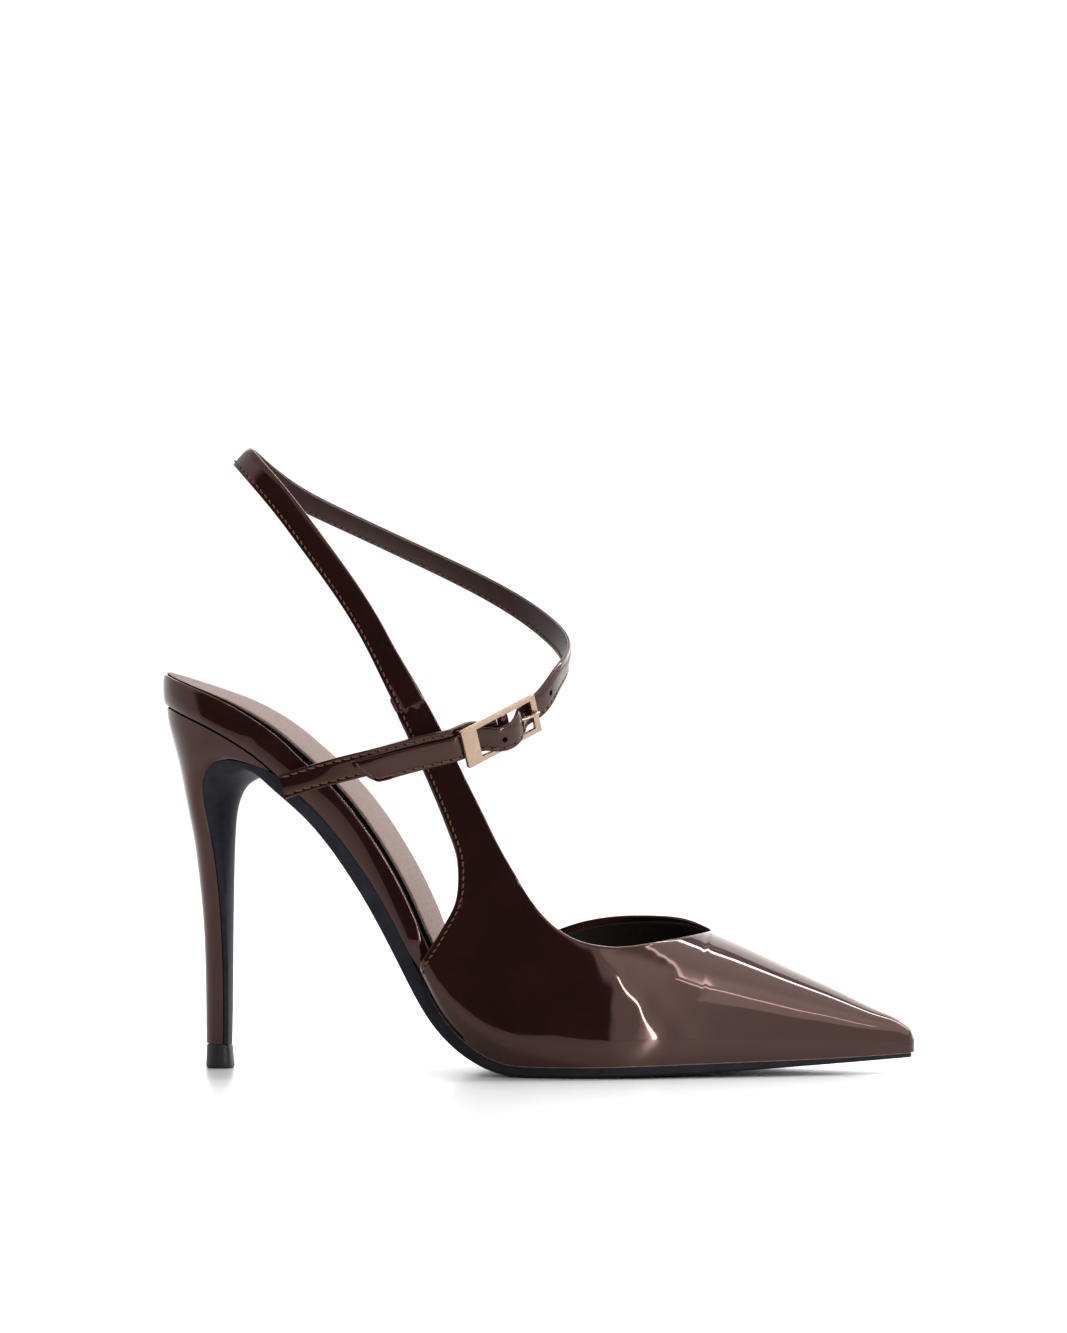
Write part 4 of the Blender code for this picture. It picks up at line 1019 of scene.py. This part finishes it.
def outer_rows(out=0.0, drop=0.0):
    """Middles and width directions of the buckle strap, moved out and down."""
    rows = []
    for place in BUCKLE_STRAP:
        share = ramp((place[0] - TURN_START) / TURN_LENGTH)
        way = HEEL_WIDTH_WAY + (buckle_up - HEEL_WIDTH_WAY) * share
        run = unit(np.subtract(BUCKLE_STRAP[-1], BUCKLE_STRAP[0]))
        moved = np.array(place) + np.cross(run, unit(way)) * out - unit(way) * drop
        rows.append(np.concatenate((moved, way)))
    return rows


def joined(*groups):
    return [np.concatenate(parts) for parts in zip(*groups)]


def buckle_rows(route):
    """Middles and width directions of a strap's route through the buckle."""
    return [np.concatenate((in_buckle(*place), buckle_up)) for place in route]


def strap_layers(name, strap, grooves, roll, nodes):
    """Patent face and lining of a strap."""
    edge = STRAP_THICK / 2
    face = strap.layer(LAYER - edge, edge, STRAP_WIDTH, grooves, roll=roll)
    back = strap.layer(-edge, LAYER - edge - LAYER_GAP, STRAP_WIDTH - 2 * LAYER_INSET, crown=0.0)
    return (piece(name, *skin(face), patent, "patent", nodes),
            piece(name + "_lining", *skin(back), strap_lining, "patent"))


def ankle_strap():
    """Strap from the tab round the ankle and through the buckle, with its holes and stitches."""
    free = curve(outer_rows(FREE_END_OUT, FREE_END_DROP))
    rows = list(np.asarray(SLING_ROUTE)) + buckle_rows(FRAME_ROUTE) + [free(q) for q in FREE_END_SHARES]
    strap = Strap(rows, STRAP_STEPS, flare=FLARE, slant=SLANT)
    layers = strap_layers("ankle_strap", strap, (-SEAM,), ROLL, ["sling_strap"])
    off_bar = np.linalg.norm(strap.mid - in_buckle(HOLE_AT, *OVER_BAR), axis=1)
    spots, outs = strap.at(strap.far[np.argmin(off_bar)] - HOLE_PITCH * np.arange(HOLES))[::3]
    for part in layers:
        punch(part, spots, unit(outs), HOLE_RADIUS)
    face, total = STRAP_THICK / 2 + ON_TOP, strap.far[-1]
    on_free, before_tip = total - FREE_LENGTH, total - ROW_STOP
    stitches("ankle_stitches", *row_of(strap, -SEAM, face, ROW_START, on_free))
    low = row_of(strap, -SEAM, face, on_free + FREE_ROW_START, before_tip, LONG_PITCH)
    end = row_across(strap, total - TIP_ROW, face + ON_TOP, -SEAM + TIP_ROW_START, SEAM)
    stitches("free_end_stitches", *joined(low, end), LONG_PITCH)
    spots, runs, outs = row_of(strap, -SEAM, -face, BACK_ROW_START, before_tip)
    stitches("ankle_lining_stitches", spots, runs, -outs)


def heel_strap():
    """Strap from the heel seat to the buckle's centre bar, stitched along both edges."""
    route = (*BAR_ROUTE, (CENTRE_BAR_AT - FOLD_BEFORE, STRAP_UP))
    strap = Strap(outer_rows() + buckle_rows(route), HEEL_STRAP_STEPS, -1.0)
    strap_layers("heel_strap", strap, (SEAM, -SEAM), HEEL_ROLL, ["buckle_strap"])
    face, end = STRAP_THICK / 2 + ON_TOP, strap.far[-1] - FOLD_STOP
    edges = [row_of(strap, offset, face, HEEL_ROW_START, end, LONG_PITCH) for offset in (SEAM, -SEAM)]
    stitches("heel_strap_stitches", *joined(*edges), LONG_PITCH)


def bar_fold():
    """Buckle strap's fold round the centre bar: an oval sleeve with the bar's slot through it."""
    loops = []
    slot = (CENTRE_BAR_WIDTH / 2 + GAP, BUCKLE_THICK / 2 + GAP)
    for radius_a, radius_o in ((FOLD_AFTER, FOLD_THICK / 2), slot):
        loops.append([[in_buckle(CENTRE_BAR_AT + radius_a * np.cos(t), STRAP_UP + up, radius_o * np.sin(t))
                       for t in ring(32)] for up in np.linspace(-STRAP_WIDTH / 2, STRAP_WIDTH / 2, 9)])
    tube = loops[0] + loops[1][::-1] + loops[0][:1]
    piece("strap_fold", *skin(tube, (False, False)), patent, "patent")


def frame_block(xs, ys, deep, cells):
    """Points and faces of box cells in the buckle's directions, without the faces between two cells."""
    faces = {}
    for i, j in cells:
        box = [(x, y, z) for x in xs[i:i + 2] for y in ys[j:j + 2] for z in (-deep, deep)]
        for quad in ((0, 1, 3, 2), (4, 5, 7, 6), (0, 1, 5, 4), (2, 3, 7, 6), (0, 2, 6, 4), (1, 3, 7, 5)):
            corners = [box[k] for k in quad]
            if not faces.pop(frozenset(corners), None):
                faces[frozenset(corners)] = corners
    points = [in_buckle(*corner) for corners in faces.values() for corner in corners]
    return points, np.arange(len(points)).reshape(-1, 4)


BEVEL, BEVEL_STEPS = 0.34, 4
PRONG_TIP, PRONG_TAPER = 0.55, 0.15      # share of its radius at the prong's end, and gained a step


def buckle():
    """Frame with its bars, and the prong with its loop."""
    bar = CENTRE_BAR_WIDTH / 2
    end, side, deep = BUCKLE_LENGTH / 2, BUCKLE_HEIGHT / 2, BUCKLE_THICK / 2
    xs = (-end, -end + WIDE_BAR, CENTRE_BAR_AT - bar, CENTRE_BAR_AT + bar, end - THIN_BAR, end)
    ys = (-side, -side + RAIL, side - RAIL, side)
    cells = [(i, j) for i in range(5) for j in range(3) if j != 1 or i in (0, 2, 4)]
    made = piece("gold_frame", *frame_block(xs, ys, deep, cells), gold, "pale_gold", ["buckle_frame"])
    soft = made.modifiers.new("rounding", "BEVEL")
    soft.width, soft.segments, soft.limit_method = BEVEL * MM, BEVEL_STEPS, "ANGLE"
    soft.angle_limit = np.radians(SHARP)
    keep_modified(made)
    route = curve(PRONG_ROUTE)(np.linspace(0, 1, 28))
    run = unit(np.gradient(route, axis=0))
    turn = ring(16)
    loops = []
    for k, ((along, out), (ra, ro)) in enumerate(zip(route, run)):
        size = PRONG_RADIUS * min(1.0, PRONG_TIP + PRONG_TAPER * (len(route) - 1 - k))
        square = buckle_along * -ro + buckle_out * ra
        loops.append([in_buckle(along, STRAP_UP, out) + size * (buckle_up * np.cos(t) + square * np.sin(t))
                      for t in turn])
    points, faces = skin(loops)
    hub_loops = []
    for around in np.linspace(0, 2 * np.pi, 33):
        away = buckle_along * np.cos(around) + buckle_out * np.sin(around)
        hub = in_buckle(CENTRE_BAR_AT, PRONG_HUB_UP) + away * PRONG_HUB
        hub_loops.append([hub + HUB_WIRE * (away * np.cos(t) + buckle_up * np.sin(t)) for t in turn])
    hub_points, hub_faces = skin(hub_loops, (False, False))
    faces += [tuple(i + len(points) for i in f) for f in hub_faces]
    piece("gold_prong", np.vstack((points, hub_points)), faces, gold, "pale_gold", ["buckle_prong"])


TAB_INSET, TAB_START, TAB_STOP = 1.2, 3.0, 8.2       # stitch row off the tab's back edge, and its two ends
TAB_STEP, TAB_ON_TOP = 0.6, 0.06
LINE_HALF, LINE_OUT, LINE_IN = 0.14, 0.42, 1.4       # tan line: half its height, insets of its two edges


def tab_stitches():
    """Stitch row along the back edge of the tab, from the sole to the strap."""
    fine = curve(TAB_BACK_LOW + TAB_BACK[1:])(np.linspace(0, 1, 400))
    way = unit(np.gradient(fine, axis=0))
    inset = fine + np.stack((way[:, 1], -way[:, 0]), -1) * TAB_INSET
    points = last_point(inset[:, 0], angle_at(inset[:, 0], inset[:, 1]), -1.0)
    far = run_along(points)
    wanted = np.arange(TAB_START, far[-1] - TAB_STOP, STITCH_PITCH)
    spots = between(wanted, far, points)
    runs = unit(between(wanted, far, unit(np.gradient(points, axis=0))))
    near_x = spots[:, 0] + TAB_STEP
    beside = last_point(near_x, angle_at(near_x, spots[:, 2]), -1.0)
    out = unit(np.cross(runs, beside - spots))
    out *= -np.sign(out[:, 1:2])
    stitches("tab_stitches", spots + out * TAB_ON_TOP, runs, out)


def glue_line():
    """Thin tan line of the sole's edge between the upper and the outsole."""
    x = np.array(list(np.arange(-30.0, 112.0, 2.0)) + toe_end(10))
    section = ((-LINE_HALF, LINE_OUT), (LINE_HALF, LINE_OUT), (LINE_HALF, LINE_IN), (-LINE_HALF, LINE_IN))
    outer, inner = (np.stack([outline(x, inset, side, rise) for rise, inset in section], 1)
                    for side in (-1, 1))
    loops = np.concatenate((outer, inner[::-1][1:]))
    piece("sole_edge_line", *skin(loops), glue, "sole")


for make in (footbed, sock_board_and_shade, sock, outsole, heel, heel_seam_shade, heel_tip, upper, ankle_strap, heel_strap,
             bar_fold, buckle, tab_stitches, glue_line):
    make()

# Floor, light and camera

FLOOR = 6.0              # half its width, in metres, as all sizes below are


def plain_floor():
    """Pale floor with a faint sheen."""
    mesh = bpy.data.meshes.new("floor")
    corners = [(x * FLOOR, y * FLOOR, 0) for x, y in ((-1, -1), (1, -1), (1, 1), (-1, 1))]
    mesh.from_pydata(corners, [], [(0, 1, 2, 3)])
    made = add_object("floor", mesh)
    mesh.materials.append(make_material("pale_floor", (0.72, 0.72, 0.72), 0.3))


def area_light(name, place, aim, along, size, power, lights_all):
    """Rectangular light with its long side one way; one that doesn't light all shows in reflections only."""
    data = bpy.data.lights.new(name, "AREA")
    data.shape = "RECTANGLE"
    data.size, data.size_y = size
    data.energy = power
    made = add_object(name, data)
    made.location = place
    out = Vector(place) - Vector(aim)
    side = Vector(along) - out * (Vector(along).dot(out) / out.length_squared)
    axes = Matrix([axis.normalized() for axis in (side, out.cross(side), out)])
    made.rotation_euler = axes.transposed().to_euler()
    made.visible_diffuse = lights_all


SUN_WAY, SUN_SPREAD, SUN_POWER = (0.35, 0.75, 1.0), 65.0, 2.3


def key_sun():
    """Broad soft light from behind and above, which lays the shadow on the floor in front."""
    data = bpy.data.lights.new("key", "SUN")
    data.angle, data.energy = np.radians(SUN_SPREAD), SUN_POWER
    made = add_object("key", data)
    made.rotation_euler = Vector(SUN_WAY).to_track_quat("Z", "Y").to_euler()
    made.visible_glossy = False


# Brightness of the surroundings, by direction
BACK_GLOW, FRONT_GLOW, LEFT_GLOW, TOP_GLOW = 1.1, 0.03, 0.85, 0.8
RIGHT_GLOW, RIGHT_HOT = 1.3, 2.3
BACKDROP = 1.05          # what the camera sees behind the shoe
# Zones laid over the glow from behind, each over the last: axis, where it starts and is full, brightness
ZONES = (
    ("Y", -0.30, -0.55, FRONT_GLOW), ("X", 0.32, 0.36, RIGHT_GLOW), ("X", 0.44, 0.47, RIGHT_HOT),
    ("X", 0.52, 0.68, RIGHT_GLOW), ("X", -0.84, -0.92, LEFT_GLOW), ("Z", 0.72, 0.80, TOP_GLOW),
)


def studio_world():
    """White surroundings with a dark side in front of the shoe's outer side, as in a studio."""
    world = bpy.data.worlds.new("studio")
    world.use_nodes = True
    bpy.context.scene.world = world
    tree = world.node_tree
    place = tree.nodes.new("ShaderNodeTexCoord")
    split = tree.nodes.new("ShaderNodeSeparateXYZ")
    tree.links.new(place.outputs["Generated"], split.inputs[0])

    def soft_step(axis, low, high):
        node = tree.nodes.new("ShaderNodeMapRange")
        node.interpolation_type = "SMOOTHSTEP"
        node.inputs["From Min"].default_value = low
        node.inputs["From Max"].default_value = high
        tree.links.new(split.outputs[axis], node.inputs["Value"])
        return node.outputs["Result"]

    def blend(mask, a, b):
        node = tree.nodes.new("ShaderNodeMix")
        tree.links.new(mask, node.inputs["Factor"])
        for socket, value in (("A", a), ("B", b)):
            if isinstance(value, float):
                node.inputs[socket].default_value = value
            else:
                tree.links.new(value, node.inputs[socket])
        return node.outputs["Result"]

    glow = BACK_GLOW
    for axis, low, high, strength in ZONES:
        glow = blend(soft_step(axis, low, high), glow, strength)
    rays = tree.nodes.new("ShaderNodeLightPath")
    ground = tree.nodes["Background"]
    tree.links.new(blend(rays.outputs["Is Camera Ray"], glow, BACKDROP), ground.inputs["Strength"])
    ground.inputs["Color"].default_value = (1.0, 1.0, 1.0, 1.0)


# Rectangular lights: name, place, aim, direction of the long side, sizes, power, lights all
LIGHTS = (
    ("top_box", (0.10, 0.25, 1.3), (0, 0, 0.05), (1, 0, 0), (1.0, 0.8), 3.0, True),
    ("edge_box", (0.58, -0.95, 0.33), (0.03, 0, 0.03), (0, 0, 1), (0.7, 0.026), 2.8, False),
    ("crest_box", (0.63, 0.40, 1.21), (0.05, 0, 0.03), (0.84, 0.16, -0.47), (1.3, 0.085), 9.5, True),
    ("ceiling_card", (1.68, -0.20, 1.2), (1.68, -0.20, 0.0), (0.53, -0.85, 0), (2.2, 1.6), 16.0, False),
    ("throat_line", (0.76, -0.25, 1.19), (0.05, 0, 0.03), (0.53, -0.85, 0), (0.94, 0.022), 0.7, False),
    ("side_line", (1.038, -0.683, 0.934), (0.05, 0, 0.03), (0.80, 0.43, -0.42), (0.28, 0.022), 0.28, False),
    ("back_card", (0.4, 1.65, 1.0), (0.1, 0, 0.1), (1, 0, 0), (3.4, 1.75), 37.0, False),
)
plain_floor()
studio_world()
key_sun()
for light in LIGHTS:
    area_light(*light)

# Camera: the photo's turn and lift, its scale, and the middle of its frame in the shoe's millimetres
TURN, TILT = np.radians(6.0), np.radians(0.6)
PIXELS_A_MM, PHOTO_HEIGHT = 3.3, 1333
SENSOR, FAR = 36.0, 2000.0
TARGET = np.array((-1.0, 0.0, 122.3))
view = bpy.data.cameras.new("photo_camera")
view.sensor_width = SENSOR
view.lens = PIXELS_A_MM * FAR / PHOTO_HEIGHT * SENSOR
camera = add_object("photo_camera", view)
back = Vector((np.sin(TURN) * np.cos(TILT), -np.cos(TURN) * np.cos(TILT), np.sin(TILT)))
camera.location = Vector((TARGET - ORIGIN) * MM) + FAR * MM * back
camera.rotation_euler = back.to_track_quat("Z", "Y").to_euler()
bpy.context.scene.camera = camera
bpy.context.scene.view_settings.view_transform = "Standard"
